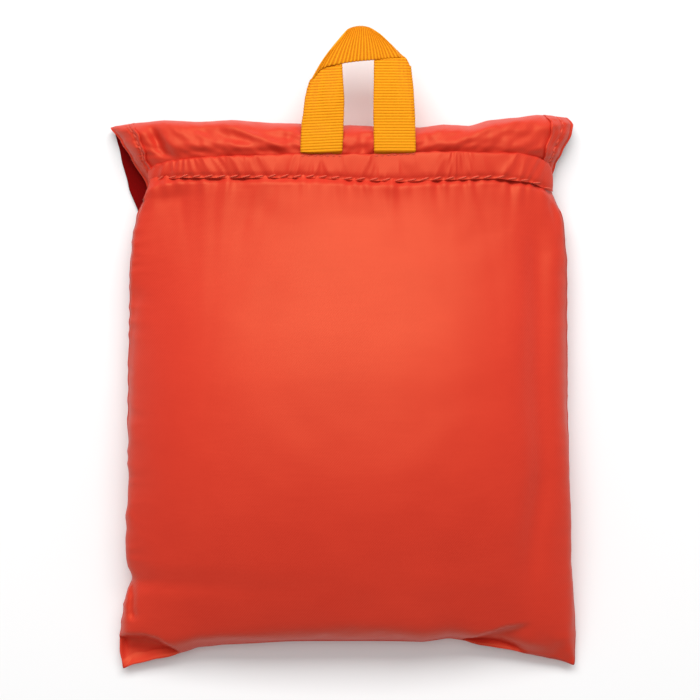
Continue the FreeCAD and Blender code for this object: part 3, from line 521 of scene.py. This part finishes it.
def panel_object(name, grid, shape, over=None):
    """One panel of the pouch: the simulated grid, smoothed once, laid over a node, with its own relief.

    The sewn edge keeps its simulated height, so that front and back meet in one seam.
    """
    def place(u, v):
        return grid[round(u * GRID_ACROSS), round(v * GRID_ALONG)]
    obj = grid_mesh(name, GRID_ACROSS, GRID_ALONG, place)
    add_modifier(obj, "SUBSURF", levels=1, render_levels=1)
    apply_modifiers(obj)
    if over:
        keep_over(obj, over, CLOTH_SUNK)
    sewn = sewn_edge(obj)
    for vert in obj.data.vertices:
        z = vert.co.z
        shape(vert.co)
        if vert.index in sewn:
            vert.co.z = max(z, 0.8 * MM)
    for face in obj.data.polygons:
        face.use_smooth = True
    return obj


def scallop(x, y):
    """How far the gathered side seams are drawn in at a place."""
    left = 0.54 * (0.6 - ridge(0, y, 9 * MM, 17)) * fading(x - side_x(LEFT_SIDE, y), 5 * MM)
    right = 0.18 * (0.6 - ridge(0, y, 11 * MM, 19)) * fading(side_x(RIGHT_SIDE, y) - x, 5 * MM)
    return (left - right) * MM


def shape_front(co):
    """Gives a point of the front its relief and draws in its seams."""
    edge = min(co.x - side_x(LEFT_SIDE, co.y), side_x(RIGHT_SIDE, co.y) - co.x)
    near_seam = smooth(edge / (2.5 * MM))
    co.z += front_relief(co.x, co.y) * mix(0.35, 1.0, near_seam)
    co.y += 2.2 * MM * (1 - smooth((stitch_y(co.x) - co.y) / (1.8 * MM)))      # the top edge goes on under the hem
    co.x += scallop(co.x, co.y)
    co.z = max(co.z, 1.2 * MM)


def shape_back(co):
    """Draws in the seams at a point of the back, which lies flat."""
    co.x += scallop(co.x, co.y)
    co.z = max(co.z, 0.4 * MM)


# ---------------------------------------------------------------- the hem
def hem_point(u, w):
    """A point of the hem's tube: u from 0 to 1 across the pouch, w once round its section."""
    x = mix(MOUTH_LEFT - 1.0 * MM, MOUTH_RIGHT + 1.0 * MM, u)
    share = 2 * u - 1
    angle = 2 * math.pi * w
    low, high = stitch_y(x) - 0.5 * MM, hem_y(x)
    c, r = -math.cos(angle), math.sin(angle)        # c is 1 at the crest, r is 1 on the upper side
    y = mix(low, high, 0.5 + 0.5 * rounded(c, 0.8))
    # pleats across the hem, pressed flat at its two ends
    lean = x + 0.9 * (y - low) * min(max(wave(x, 0, 26 * MM, 25) * 1.6, -0.6), 0.6)
    pleat = 0.9 * ridge(lean, y * 0.2, 9 * MM, 21) + 0.8 * ridge(lean, y * 0.3, 4.6 * MM, 26)
    pleat += 0.8 * wave(lean, y * 0.4, 7.5 * MM, 22)
    ends = smooth((1 - abs(share)) * 14)
    thick = HEM_THICK * (1 + 0.25 * wave(x, 0, 8 * MM, 23)) * mix(0.55, 1.0, smooth((y - low) / (3.5 * MM)))
    z = mouth_z(share * 0.985) + thick * rounded(r, 0.7) + pleat * 0.55 * MM * ends
    # below the legs it stays low, because the loop folds down over it
    legs = max(math.exp(-((x / MM - m) / 14) ** 8) for m in LEG_MIDDLES)
    z = min(z, pivot.z - 1.5 * MM + 0.12 * (pivot.y - y) + 4 * MM * (1 - legs))
    # the stitches pull it in, each with its own dimple
    dimple = (0.5 + 0.5 * math.cos(2 * math.pi * (x - STITCH_START) / STITCH_PITCH)) ** 3
    z -= (0.7 + 0.6 * dimple) * MM * bell(y - stitch_y(x) - 0.6 * MM, 1.0 * MM) * max(r, 0)
    y += 0.45 * MM * wave(x, 0, 4 * MM, 24) * max(c, 0)
    return Vector((x, y, z))


def stitch_row(name, rows, radius, surface):
    """Threads lying on a surface: each row entry is a middle (x, y), a direction in radians and a length."""
    tree = BVHTree.FromObject(surface, bpy.context.evaluated_depsgraph_get())
    bm = bmesh.new()
    for x, y, turn, length in rows:
        ends = []
        for side in (-1, 1):
            end_x = x + side * math.cos(turn) * length / 2
            end_y = y + side * math.sin(turn) * length / 2
            hit = surface_under(tree, end_x, end_y)
            ends.append(hit if hit is not None else Vector((end_x, end_y, OFF_CLOTH_Z)))
        middle = (ends[0] + ends[1]) / 2
        hit = surface_under(tree, middle.x, middle.y)
        lift = 0.6 * radius if hit is None else max(hit.z - middle.z, 0) + 0.55 * radius
        along = (ends[1] - ends[0]).normalized()
        made = bmesh.ops.create_uvsphere(bm, u_segments=8, v_segments=6, radius=1.0)
        turn_to = along.to_track_quat("Z", "Y").to_matrix()
        half = (ends[1] - ends[0]).length / 2
        for vert in made["verts"]:
            spun = turn_to @ Vector((vert.co.x * radius, vert.co.y * radius, vert.co.z * half))
            vert.co = spun + middle + Vector((0, 0, lift))
    return finish_mesh(name, bm)


# ---------------------------------------------------------------- the flap
def fold_y(x):
    """Y of the flap's fold at x."""
    return height_over(FOLD_LINE, x / MM) * MM


def flap_point(u, t):
    """A point of the flap: u from -1 to 1 across, t from its tucked end over the fold and back under.

    Its upper side is crumpled where it shows, with hollows beside the loop's legs and behind the hem's left end.
    """
    # the section: along the hem's height inside the mouth, over the fold, and back along the floor
    h = mouth_z(u)
    full = 1 - abs(u) ** 4
    f = fold_y(u * 112 * MM)
    top = h + 1.2 * MM * full
    low = 1.3 * MM
    nose = mix(0.30, 0.22, full)
    path = ((60 * MM, h - 4.6 * MM), (78 * MM, h - 4.0 * MM), (90 * MM, h - 2.8 * MM), (95.5 * MM, h - 0.6 * MM),
            (100 * MM, top), (f - 5 * MM, mix(low, top, 0.9)), (f - 1.2 * MM, mix(low, top, 0.6)),
            (f, mix(low, top, nose)), (f - 0.8 * MM, low + 1.1 * MM), (f - 5 * MM, low), (97 * MM, low),
            (84 * MM, low), (72 * MM, low + 0.2 * MM), (62 * MM, low + 0.4 * MM))
    y, z = through(path, t)
    upper = 1 - smooth((t - 0.42) / 0.2)
    left = mix(side_x(UNDER_LEFT, y), side_x(FLAP_LEFT, y), upper)
    right = mix(side_x(UNDER_RIGHT, y), side_x(FLAP_RIGHT, y), upper)
    x = mix(left, right, (u + 1) / 2)
    # crumples lean towards the middle, are weaker at the sides, and there are none where the cloth is hidden
    shown = smooth((t - 0.16) / 0.08) * (1 - smooth((t - 0.5) / 0.15))
    edge = smooth((1 - abs(u)) * 9)
    lean = x + 0.9 * (y - 95 * MM) * math.copysign(1, -x)
    crumple = 1.7 * wave(lean, y * 1.6, 13 * MM, 31) + 0.9 * wave(lean, y * 1.5, 6 * MM, 32)
    crumple += 0.35 * wave(x, y, 3 * MM, 33)
    hollow = 1.9 * bell(x + 93 * MM + 0.5 * (y - 102 * MM), 3.5 * MM) * bell(y - 102 * MM, 7 * MM)
    # a long slanted crest and its trough on the left, and a shorter crest on the right
    crest = mix(112 * MM, 98 * MM, smooth((x + 74 * MM) / (52 * MM)))
    span = smooth((x + 80 * MM) / (14 * MM)) * (1 - smooth((x + 32 * MM) / (9 * MM)))
    crumple += 2.0 * bell(y - crest, 2.6 * MM) * span
    crumple -= 0.5 * bell(y - crest + 5 * MM, 3.0 * MM) * span
    crest = mix(99 * MM, 112 * MM, smooth((x - 44 * MM) / (40 * MM)))
    span = smooth((x - 42 * MM) / (8 * MM)) * (1 - smooth((x - 82 * MM) / (9 * MM)))
    crumple += 1.3 * bell(y - crest, 2.8 * MM) * span
    for beside_leg in (-27.5, -7, 8, 38.5):
        hollow += 0.55 * bell(x - beside_leg * MM, 3 * MM) * bell(y - 101 * MM, 6 * MM)
    z += (crumple * mix(0.35, 1.0, edge) - 3.0 * hollow) * MM * shown * smooth(h / (20 * MM) + 0.2)
    return Vector((x, y, max(z, 0.9 * MM)))


SEWN = {-1: 0.78, 1: 0.5}       # by side, where the stitches run in the flap's side hems, as a share of their width
FLAP_OVER = 1.012               # the side hems' outer edge, as a share of half the flap


def hem_wide(t):
    """Width of the flap's side hems as a share of half the flap, at t along it."""
    return mix(0.075, 0.11, smooth((t - 0.15) / 0.26))


def flap_hem(name, side):
    """The stitched hem along one side of the flap: a flat roll from inside the mouth to under the fold.

    Its stitches draw a groove, beyond which its inner edge stands up as a lip.
    """
    def place(a, w):
        t = mix(0.09, 0.56, a)
        angle = 2 * math.pi * w
        c, r = -math.cos(angle), math.sin(angle)
        inward = 0.5 + 0.5 * rounded(c, 0.75)
        wide = hem_wide(t) * (1 + 0.06 * wave(a, 0, 0.08, 41))
        at = flap_point(side * (FLAP_OVER - wide * inward), t)
        puckers = 0.5 + 0.5 * math.cos(2 * math.pi * a * 19)
        at.z += (0.5 + 0.95 * rounded(r, 0.6)) * MM
        at.z += 0.35 * MM * wave(a, inward * 0.1, 0.05, 42 + side) * max(r, 0)
        at.z -= (0.8 + 0.5 * puckers) * MM * bell(inward - SEWN[side], 0.1) * max(r, 0)
        at.z += 0.9 * MM * bell(inward - 0.94, 0.06) * max(r, 0)
        at.z = max(at.z, 0.5 * MM)
        return at
    return grid_mesh(name, 150, 56, place, wrap=True)


# ---------------------------------------------------------------- the carry loop
def loop_z(y):
    """Height of the loop's middle: it hangs in a shallow curve from its pivot."""
    share = max(y - pivot.y, 0.0) / (LOOP_TOP_Y - pivot.y)
    return pivot.z - 12 * MM * share ** 2


def edge_roll(w):
    """How far a webbing's face drops towards its two woven edges."""
    return 0.38 * MM * (1 - (1 - abs(2 * w - 1) ** 10) ** 0.5)


def leg(name, outlines, top, tilt, worn_spot=False):
    """One leg of the loop, from its root to its slanted end, which dips under the cross piece.

    outlines are its left and right edge, top is the line it ends on, and tilt is the slant of its ribs. A worn
    spot is a place where the ribs are rubbed flat.
    """
    def spot(w, a):
        left, right = outlines
        end = height_over(top, mix(height_over(left, LEGS_TO), height_over(right, LEGS_TO), w)) * MM
        y = mix(pivot.y, end, a)
        return mix(side_x(left, y), side_x(right, y), w), y

    def count(w, a):
        x, y = spot(w, a)
        return (y - tilt * x) / RIB_PITCH

    def place(w, a):
        x, y = spot(w, a)
        rib = math.cos(2 * math.pi * count(w, a))
        worn = 1.0
        if worn_spot:
            worn = 1 - 0.85 * bell(x + 13 * MM, 6 * MM) * bell(y - 106.5 * MM, 4 * MM)
        z = loop_z(y) + WEB_THICK / 2 + RIB_DEEP * rib * worn - edge_roll(w)
        z += 0.5 * MM * wave(x, y, 18 * MM, 50 + tilt)
        z -= 0.5 * MM * math.exp(-(y - pivot.y) / (1.5 * MM))
        z -= 1.3 * MM * smooth((y / MM - height_over(CROSS_LOW, x / MM) + 1.5) / 3)
        ragged = 0.12 * MM * rib * abs(2 * w - 1) ** 12 * math.copysign(1, w - 0.5)
        return Vector((x + ragged, y, z))
    obj = grid_mesh(name, 30, 260, place, ribs=count)
    add_modifier(obj, "SOLIDIFY", thickness=WEB_THICK * 0.86, offset=-1)
    return obj


def cross_piece():
    """The loop's top: the webbing runs across in front of both legs, folded at its slanted ends."""
    def place(s, w):
        low, high = through(CROSS_LOW, s), through(CROSS_HIGH, s)
        bow = 1.3 * math.sin(math.pi * w) * (0.5 - s) * 2
        x = (mix(low[0], high[0], w) - bow) * MM
        y = mix(low[1], high[1], w) * MM
        rib = math.cos(2 * math.pi * s * RIBS_ACROSS)
        z = loop_z(y) + WEB_THICK * 1.5 + 0.15 * MM + RIB_DEEP * rib - edge_roll(w)
        z -= 1.5 * MM * (1 - math.sqrt(max(1 - (1 - smooth(min(s, 1 - s) * 22)) ** 2, 0)))
        z += 0.5 * MM * math.sin(math.pi * s) * math.sin(math.pi * w)
        ragged = 0.10 * MM * rib * abs(2 * w - 1) ** 12 * math.copysign(1, w - 0.5)
        return Vector((x, y + ragged, z))
    obj = grid_mesh("loop_cross_piece", RIBS_ACROSS * 8, 26, place, ribs=lambda s, w: s * RIBS_ACROSS)
    add_modifier(obj, "SOLIDIFY", thickness=WEB_THICK * 0.8, offset=-1)
    return obj


def sewn_end(name, middle):
    """The end of a leg under the hem, up to the loop's pivot."""
    def place(w, a):
        x = middle + (w - 0.5) * WEB_WIDE
        y = mix(86 * MM, pivot.y + 0.5 * MM, a)
        under = mouth_z(mouth_u(x)) - 1.9 * MM
        z = mix(under, pivot.z - 0.9 * MM, smooth((a - 0.7) / 0.3))
        return Vector((x, y, z + RIB_DEEP * math.cos(2 * math.pi * y / RIB_PITCH) - edge_roll(w)))
    obj = grid_mesh(name, 24, 48, place, ribs=lambda w, a: a * 7)
    add_modifier(obj, "SOLIDIFY", thickness=WEB_THICK * 0.7, offset=-1)
    return obj


# ---------------------------------------------------------------- materials
def linear(hex_colour):
    """An sRGB hex colour as linear red, green, blue and alpha."""
    parts = [int(hex_colour[i:i + 2], 16) / 255 for i in (1, 3, 5)]
    return [p / 12.92 if p <= 0.04045 else ((p + 0.055) / 1.055) ** 2.4 for p in parts] + [1.0]


def add_node(tree, kind, inputs=(), **settings):
    """One node with its settings; inputs pairs a socket's name or number with a value or a socket."""
    node = tree.nodes.new(kind)
    for key, value in settings.items():
        setattr(node, key, value)
    for key, value in dict(inputs).items():
        if isinstance(value, bpy.types.NodeSocket):
            tree.links.new(value, node.inputs[key])
        else:
            node.inputs[key].default_value = value
    return node


def new_material(name, **sockets):
    """A Principled material; sockets are set by name with underscores for spaces, uniform values only."""
    material = bpy.data.materials.new(name)
    material.use_nodes = True
    tree = material.node_tree
    shader = tree.nodes["Principled BSDF"]
    for key, value in sockets.items():
        shader.inputs[key.replace("_", " ")].default_value = value
    return material, tree, shader


def tinted(tree, shader, factor, dark, light):
    """Base colour between two colours by a factor socket."""
    tone = add_node(tree, "ShaderNodeMix", data_type="RGBA")
    tree.links.new(factor, tone.inputs[0])
    tone.inputs[6].default_value = linear(dark)
    tone.inputs[7].default_value = linear(light)
    tree.links.new(tone.outputs[2], shader.inputs["Base Color"])


def bumped(tree, shader, height, distance, strength):
    """A relief of the given depth from a height socket."""
    bump = add_node(tree, "ShaderNodeBump", {"Height": height, "Strength": strength, "Distance": distance})
    tree.links.new(bump.outputs["Normal"], shader.inputs["Normal"])


def object_place(tree, turn=0.0, stretch=(1, 1, 1)):
    """Object coordinates, turned by degrees about Z and stretched."""
    place = add_node(tree, "ShaderNodeTexCoord").outputs["Object"]
    return add_node(tree, "ShaderNodeMapping", {"Vector": place, "Rotation": (0, 0, math.radians(turn)),
                                                "Scale": stretch}).outputs[0]


def wave_scale(pitch):
    """The Wave texture's scale that gives one band every pitch metres."""
    return 2 * math.pi / (pitch * 20)


def woven_nylon(name, dark, light, rib_pitch, shine, gloss="#FFDF98"):
    """Nylon twill, piece dyed and pressed between hot rollers: fine slanted ribs and a soft, tinted gloss.

    The dye is a little cloudy over about 45 mm, and yarns run paler or darker in streaks 1.4 mm wide. Real ribs
    and yarns are about 0.3 mm wide; they are drawn coarser so that they show.
    """
    material, tree, shader = new_material(name, Roughness=shine, IOR=1.5, Specular_Tint=linear(gloss))
    place = object_place(tree)
    turned = object_place(tree, turn=40)
    rib = add_node(tree, "ShaderNodeTexWave", {"Vector": turned, "Scale": wave_scale(rib_pitch),
                                               "Distortion": 0.8, "Detail": 2.0, "Detail Scale": 6.0},
                   bands_direction="X").outputs["Fac"]
    cloud = add_node(tree, "ShaderNodeTexNoise", {"Vector": place, "Scale": 22.0, "Detail": 5.0,
                                                  "Roughness": 0.6}).outputs["Fac"]
    slub = add_node(tree, "ShaderNodeTexNoise", {"Vector": object_place(tree, stretch=(60, 700, 300)),
                                                 "Scale": 1.0, "Detail": 2.0}).outputs["Fac"]
    both = add_node(tree, "ShaderNodeMath", {0: rib, 1: 0.30}, operation="MULTIPLY").outputs[0]
    both = add_node(tree, "ShaderNodeMath", {0: slub, 1: 0.18, 2: both}, operation="MULTIPLY_ADD").outputs[0]
    both = add_node(tree, "ShaderNodeMath", {0: cloud, 1: 0.55, 2: both}, operation="MULTIPLY_ADD").outputs[0]
    tinted(tree, shader, both, dark, light)
    bumped(tree, shader, rib, 0.05 * MM, 0.5)
    return material


def webbing(name, dark, light, pitch):
    """Polyester tape from a narrow loom: ribs across it, painted lighter on their crests and darker between them as
    painted highlight and shade, a satin gloss, and yarns that show as small cells.

    The ribs follow the piece's own UV map. Real yarns are about 0.3 mm wide; the cells are drawn at 0.55 mm so
    that they show.
    """
    material, tree, shader = new_material(name, Roughness=0.55, IOR=1.42, Specular_Tint=linear("#FFC766"),
                                          Sheen_Weight=0.03, Sheen_Tint=linear("#FFC04A"))
    place = object_place(tree)
    uv = add_node(tree, "ShaderNodeUVMap", uv_map="ribs").outputs[0]
    # the rib bands line up with the ribs' crests: painted highlight on each crest and painted shade between them
    rib = add_node(tree, "ShaderNodeTexWave", {"Vector": uv, "Scale": wave_scale(1.0), "Phase Offset": math.pi,
                                               "Distortion": 0.0}, bands_direction="Y").outputs["Fac"]
    yarn = add_node(tree, "ShaderNodeTexNoise", {"Vector": object_place(tree, stretch=(1 / pitch, 1 / pitch, 1)),
                                                 "Scale": 2.4, "Detail": 3.0}).outputs["Fac"]
    cell = add_node(tree, "ShaderNodeTexVoronoi", {"Vector": place, "Scale": 1 / (0.55 * MM)}).outputs["Distance"]
    both = add_node(tree, "ShaderNodeMath", {0: cell, 1: 0.4}, operation="MULTIPLY").outputs[0]
    both = add_node(tree, "ShaderNodeMath", {0: yarn, 1: 0.35, 2: both}, operation="MULTIPLY_ADD").outputs[0]
    both = add_node(tree, "ShaderNodeMath", {0: rib, 1: 0.7, 2: both}, operation="MULTIPLY_ADD").outputs[0]
    both = add_node(tree, "ShaderNodeMath", {0: both, 1: 0.15}, operation="SUBTRACT").outputs[0]
    tinted(tree, shader, both, dark, light)
    bumped(tree, shader, cell, 0.05 * MM, 0.4)
    return material


def thread_material():
    """Spun polyester thread, two plies twisted 0.5 mm apart, a little paler and duller than the cloth."""
    material, tree, shader = new_material("polyester_thread", Roughness=0.55, IOR=1.4,
                                          Specular_Tint=linear("#FF8A6A"))
    ply = add_node(tree, "ShaderNodeTexWave", {"Vector": object_place(tree, turn=55),
                                               "Scale": wave_scale(0.5 * MM)}).outputs["Fac"]
    tinted(tree, shader, ply, "#C0342A", "#F07258")
    bumped(tree, shader, ply, 0.08 * MM, 0.6)
    return material


def moulded(name, dark, light, rough):
    """Injection-moulded acetal: a spark-eroded grain, drawn at about 0.3 mm so that it shows, and a waxy gloss."""
    material, tree, shader = new_material(name, Roughness=rough, IOR=1.48)
    grain = add_node(tree, "ShaderNodeTexNoise", {"Vector": object_place(tree), "Scale": 3500.0,
                                                  "Detail": 2.0}).outputs["Fac"]
    tinted(tree, shader, grain, dark, light)
    bumped(tree, shader, grain, 0.02 * MM, 0.5)
    return material


def cast_zinc():
    """Tumbled die-cast zinc under a dark electroplate, paler and scuffed in spots of about 1 mm where it rubs."""
    material, tree, shader = new_material("plated_zinc", Metallic=1.0)
    rub = add_node(tree, "ShaderNodeTexNoise", {"Vector": object_place(tree), "Scale": 900.0,
                                                "Detail": 6.0}).outputs[0]
    tinted(tree, shader, rub, "#4A4B50", "#8B8D92")
    rough = add_node(tree, "ShaderNodeMapRange", {"Value": rub, "To Min": 0.25, "To Max": 0.5}).outputs[0]
    tree.links.new(rough, shader.inputs["Roughness"])
    return material


def banded(name, dark, light, pitch, turn, rough, depth):
    """Tape or coil with even bands at a set pitch, across its length."""
    material, tree, shader = new_material(name, Roughness=rough)
    band = add_node(tree, "ShaderNodeTexWave", {"Vector": object_place(tree, turn=turn),
                                                "Scale": wave_scale(pitch), "Distortion": 0.3,
                                                "Detail": 1.0}).outputs["Fac"]
    tinted(tree, shader, band, dark, light)
    bumped(tree, shader, band, depth, 0.8)
    return material


# the pouch's cloth, and the same cloth's coated back: dull, and painted far darker than it is, as painted shade for
# the inside of the flap
nylon = woven_nylon("calendered_nylon_twill", "#C2251C", "#DC3B2A", 0.9 * MM, 0.5)
nylon_reverse_painted_shade = woven_nylon("nylon_coated_reverse_painted_shade", "#660506", "#7A0A0A", 0.9 * MM, 0.8, "#C03028")
loop_tape = webbing("grosgrain_tape", "#BC5802", "#EC9C16", RIB_PITCH)
thread = thread_material()
# elastic: rubber strands braided over with bleached polyester, chalky, with a band at every crossing
elastic_braid = banded("braided_elastic", "#C9C4BC", "#EFEBE4", 1.2 * MM, 90, 0.8, 0.2 * MM)
# the daypack's own cloth: thin ripstop nylon with a polyurethane coat, glossier than the pouch; its real ribs are
# finer than the 1.3 mm drawn
pack_cloth = woven_nylon("coated_ripstop_nylon", "#B9261D", "#D93A28", 1.3 * MM, 0.42)
# binding: a plain woven polyester tape cut on the bias, matt, with slanted ribs that are finer than the 0.8 mm drawn
bias_tape = banded("woven_binding_tape", "#A82820", "#C93B2E", 0.8 * MM, 45, 0.7, 0.08 * MM)
# straps: warp-knitted polyester spacer mesh, matt, with open cells in rows
spacer_mesh = banded("spacer_mesh", "#24262A", "#3B3E44", 2.2 * MM, 30, 0.85, 0.5 * MM)
black_tape = webbing("flat_polyester_tape", "#1B1D20", "#33363B", 1.6 * MM)
acetal = moulded("black_acetal", "#16181A", "#232629", 0.38)
# zip: warp-knitted polyester tape, matt, and a coil of drawn nylon wire, glossy, with a turn every 1.25 mm
zip_cloth = banded("knitted_zip_tape", "#A92A20", "#C63E30", 0.7 * MM, 90, 0.75, 0.08 * MM)
zip_nylon = banded("nylon_coil", "#8E2018", "#C84636", 1.25 * MM, 90, 0.35, 0.5 * MM)
zinc = cast_zinc()

NODE_FINISH = {
    nylon: ("front_panel", "back_panel", "top_flap", "mouth_casing"),
    loop_tape: ("carry_loop", "carry_loop_ends"),
    elastic_braid: ("mouth_elastic",),
    pack_cloth: ("pack_back_panel", "pack_gusset", "pack_front_panel", "pack_front_pocket"),
    bias_tape: ("seam_binding_left", "seam_binding_right"),
    spacer_mesh: ("shoulder_strap_left", "shoulder_strap_right"),
    black_tape: ("strap_webbing_left", "strap_webbing_right", "sternum_web_socket_side",
                 "sternum_web_plug_side", "haul_loop"),
    acetal: ("ladder_lock_left", "ladder_lock_right", "buckle_socket", "buckle_plug"),
    zip_cloth: ("zip_tapes",),
    zip_nylon: ("zip_coil",),
    zinc: ("zip_slider", "zip_puller"),
}
for finish, names in NODE_FINISH.items():
    for name in names:
        data = frame["nodes"][name].data
        for k in range(max(len(data.materials), 1)):
            if k < len(data.materials):
                data.materials[k] = finish
            else:
                data.materials.append(finish)


def dress(obj, material, body, slot, *nodes):
    """Gives a piece its material, the CAD nodes it stands for and the body it rides on; the slot argument is not
    used.
    """
    obj.data.materials.clear()
    obj.data.materials.append(material)
    if nodes:
        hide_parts(*nodes)
    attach(obj, body)
    return obj


# ---------------------------------------------------------------- making the pouch
front_grid, back_grid = panel_grids()
fit_outline((front_grid, back_grid))
front = panel_object("front_cloth", front_grid, shape_front, over="front_panel")
back = panel_object("back_cloth", back_grid, shape_back)
for panel, node in ((front, "front_panel"), (back, "back_panel")):
    add_modifier(panel, "SOLIDIFY", thickness=CLOTH_THICK, offset=-1)
    dress(panel, nylon, "pouch", "pouch_nylon", node)

hem = grid_mesh("mouth_hem", 560, 28, hem_point, wrap=True)
dress(hem, nylon, "pouch", "pouch_nylon", "mouth_casing")


def elastic_point(u, w):
    """A point of the elastic, half way between the hem's upper and lower cloth."""
    across = mix(0.03, 0.97, u)
    turn = mix(0.14, 0.36, w)
    return (hem_point(across, turn) + hem_point(across, 1 - turn)) / 2


elastic = grid_mesh("hem_elastic", 120, 6, elastic_point)
add_modifier(elastic, "SOLIDIFY", thickness=ELASTIC_THICK, offset=0)
dress(elastic, elastic_braid, "pouch", "elastic", "mouth_elastic")

flap = grid_mesh("flap_cloth", 300, 110, lambda u, t: flap_point(2 * u - 1, t))
add_modifier(flap, "SOLIDIFY", thickness=CLOTH_THICK, offset=-1)
dress(flap, nylon, "pouch", "pouch_nylon", "top_flap")
# the flap's lower layer, inside the fold, takes the dark reverse material: painted shade where the fold keeps the
# light out
flap.data.materials.append(nylon_reverse_painted_shade)
for face in flap.data.polygons:
    if face.center.z < 4 * MM and face.center.y < 108 * MM:
        face.material_index = 1
hems = [dress(flap_hem(name, side), nylon, "pouch", "pouch_nylon")
        for name, side in (("flap_hem_left", -1), ("flap_hem_right", 1))]

BINDING_ROWS = (13, GRID_ALONG - 8)     # the bindings run between these rows of the panels, inside the seams
for name, first in (("left", 1), ("right", GRID_ACROSS - 3)):
    def binding_point(w, v, first=first):
        k = first + round(w * 2)
        row = round(mix(*BINDING_ROWS, v))
        return (front_grid[k, row] + back_grid[k, row]) / 2
    strip = grid_mesh("inner_binding_" + name, 2, BINDING_ROWS[1] - BINDING_ROWS[0], binding_point)
    add_modifier(strip, "SOLIDIFY", thickness=BINDING_THICK, offset=0)
    dress(strip, bias_tape, "pouch", "binding", "seam_binding_" + name)

# ---------------------------------------------------------------- making the loop
dress(leg("loop_leg_left", (LEFT_OUTER, LEFT_INNER), LEFT_END, 0.05, worn_spot=True),
      loop_tape, "carry_loop", "loop_webbing")
dress(leg("loop_leg_right", (RIGHT_INNER, RIGHT_OUTER), RIGHT_END, 0.0), loop_tape, "carry_loop", "loop_webbing")
dress(cross_piece(), loop_tape, "carry_loop", "loop_webbing", "carry_loop")
dress(sewn_end("loop_end_left", LEG_MIDDLES[0] * MM), loop_tape, "pouch", "loop_webbing", "carry_loop_ends")
dress(sewn_end("loop_end_right", LEG_MIDDLES[1] * MM), loop_tape, "pouch", "loop_webbing")


# ---------------------------------------------------------------- stitches
def hem_rows():
    """The hem's stitches, slanted across their line and a little uneven, as in a gathered seam."""
    rows = []
    x = STITCH_START
    while x < STITCH_END:
        jitter = wave(x, 0, 2 * MM, 61)
        slope = (stitch_y(x + 1 * MM) - stitch_y(x - 1 * MM)) / (2 * MM)
        rows.append((x + STITCH_PITCH / 2, stitch_y(x + STITCH_PITCH / 2) + (0.55 + 0.2 * jitter) * MM,
                     math.atan(slope) + 0.26 + 0.16 * jitter, STITCH_LONG))
        x += STITCH_PITCH
    return rows


def flap_rows(side, seed):
    """The stitches along one of the flap's side hems."""
    rows = []
    for k in range(9):
        t = mix(0.20, 0.455, k / 8)
        across = side * (FLAP_OVER - hem_wide(t) * SEWN[side])
        here = flap_point(across, t)
        later = flap_point(across, t + 0.01)
        turn = math.atan2(later.y - here.y, later.x - here.x) + 0.25 * wave(k, 0, 1.7, seed)
        rows.append((here.x, here.y, turn, 2.7 * MM))
    return rows


def base_rows():
    """The short stitches that hold the loop's two ends under the hem."""
    rows = []
    for middle in LEG_MIDDLES:
        for k in range(7):
            x = (middle - 9 + 3 * k) * MM
            rows.append((x, hem_y(x) - 0.9 * MM, 0.1 * wave(k, middle, 1.3, 81), 1.7 * MM))
    return rows


dress(stitch_row("hem_stitches", hem_rows(), HEM_THREAD, hem), thread, "pouch", "pouch_nylon")
for name, roll, side, seed in (("flap_stitches_left", hems[0], -1, 71), ("flap_stitches_right", hems[1], 1, 72)):
    dress(stitch_row(name, flap_rows(side, seed), FLAP_THREAD, roll), thread, "pouch", "pouch_nylon")
dress(stitch_row("loop_base_stitches", base_rows(), BASE_THREAD, hem), thread, "pouch", "pouch_nylon")

# ---------------------------------------------------------------- floor and light
FLOOR_WIDE = 6.0
floor = grid_mesh("floor", 1, 1, lambda u, v: Vector((u - 0.5, v - 0.5, 0)) * FLOOR_WIDE)
# seamless studio paper, machine finished: white and matt
paper = new_material("white_paper_sweep", Base_Color=linear("#F3F3F3"), Roughness=0.9)[0]
floor.data.materials.append(paper)


def softbox(name, place, size, power):
    """A soft rectangular light, turned to the middle of the floor."""
    light = bpy.data.lights.new(name, "AREA")
    light.shape = "RECTANGLE"
    light.size, light.size_y = size
    light.energy = power
    obj = bpy.data.objects.new(name, light)
    bpy.context.scene.collection.objects.link(obj)
    obj.location = place
    obj.rotation_euler = (-Vector(place)).to_track_quat("-Z", "Y").to_euler()


# a wide box above the mouth's end and a weaker one overhead, in watts
softbox("window_box", (0, 1.2, 1.55), (2.2, 0.8), 38)
softbox("top_box", (-0.1, 0.2, 2.0), (1.4, 1.2), 11)

world = bpy.data.worlds.new("studio")
world.use_nodes = True
world.node_tree.nodes["Background"].inputs["Color"].default_value = (1, 1, 1, 1)
world.node_tree.nodes["Background"].inputs["Strength"].default_value = 0.30
bpy.context.scene.world = world
bpy.context.scene.view_settings.view_transform = "Standard"
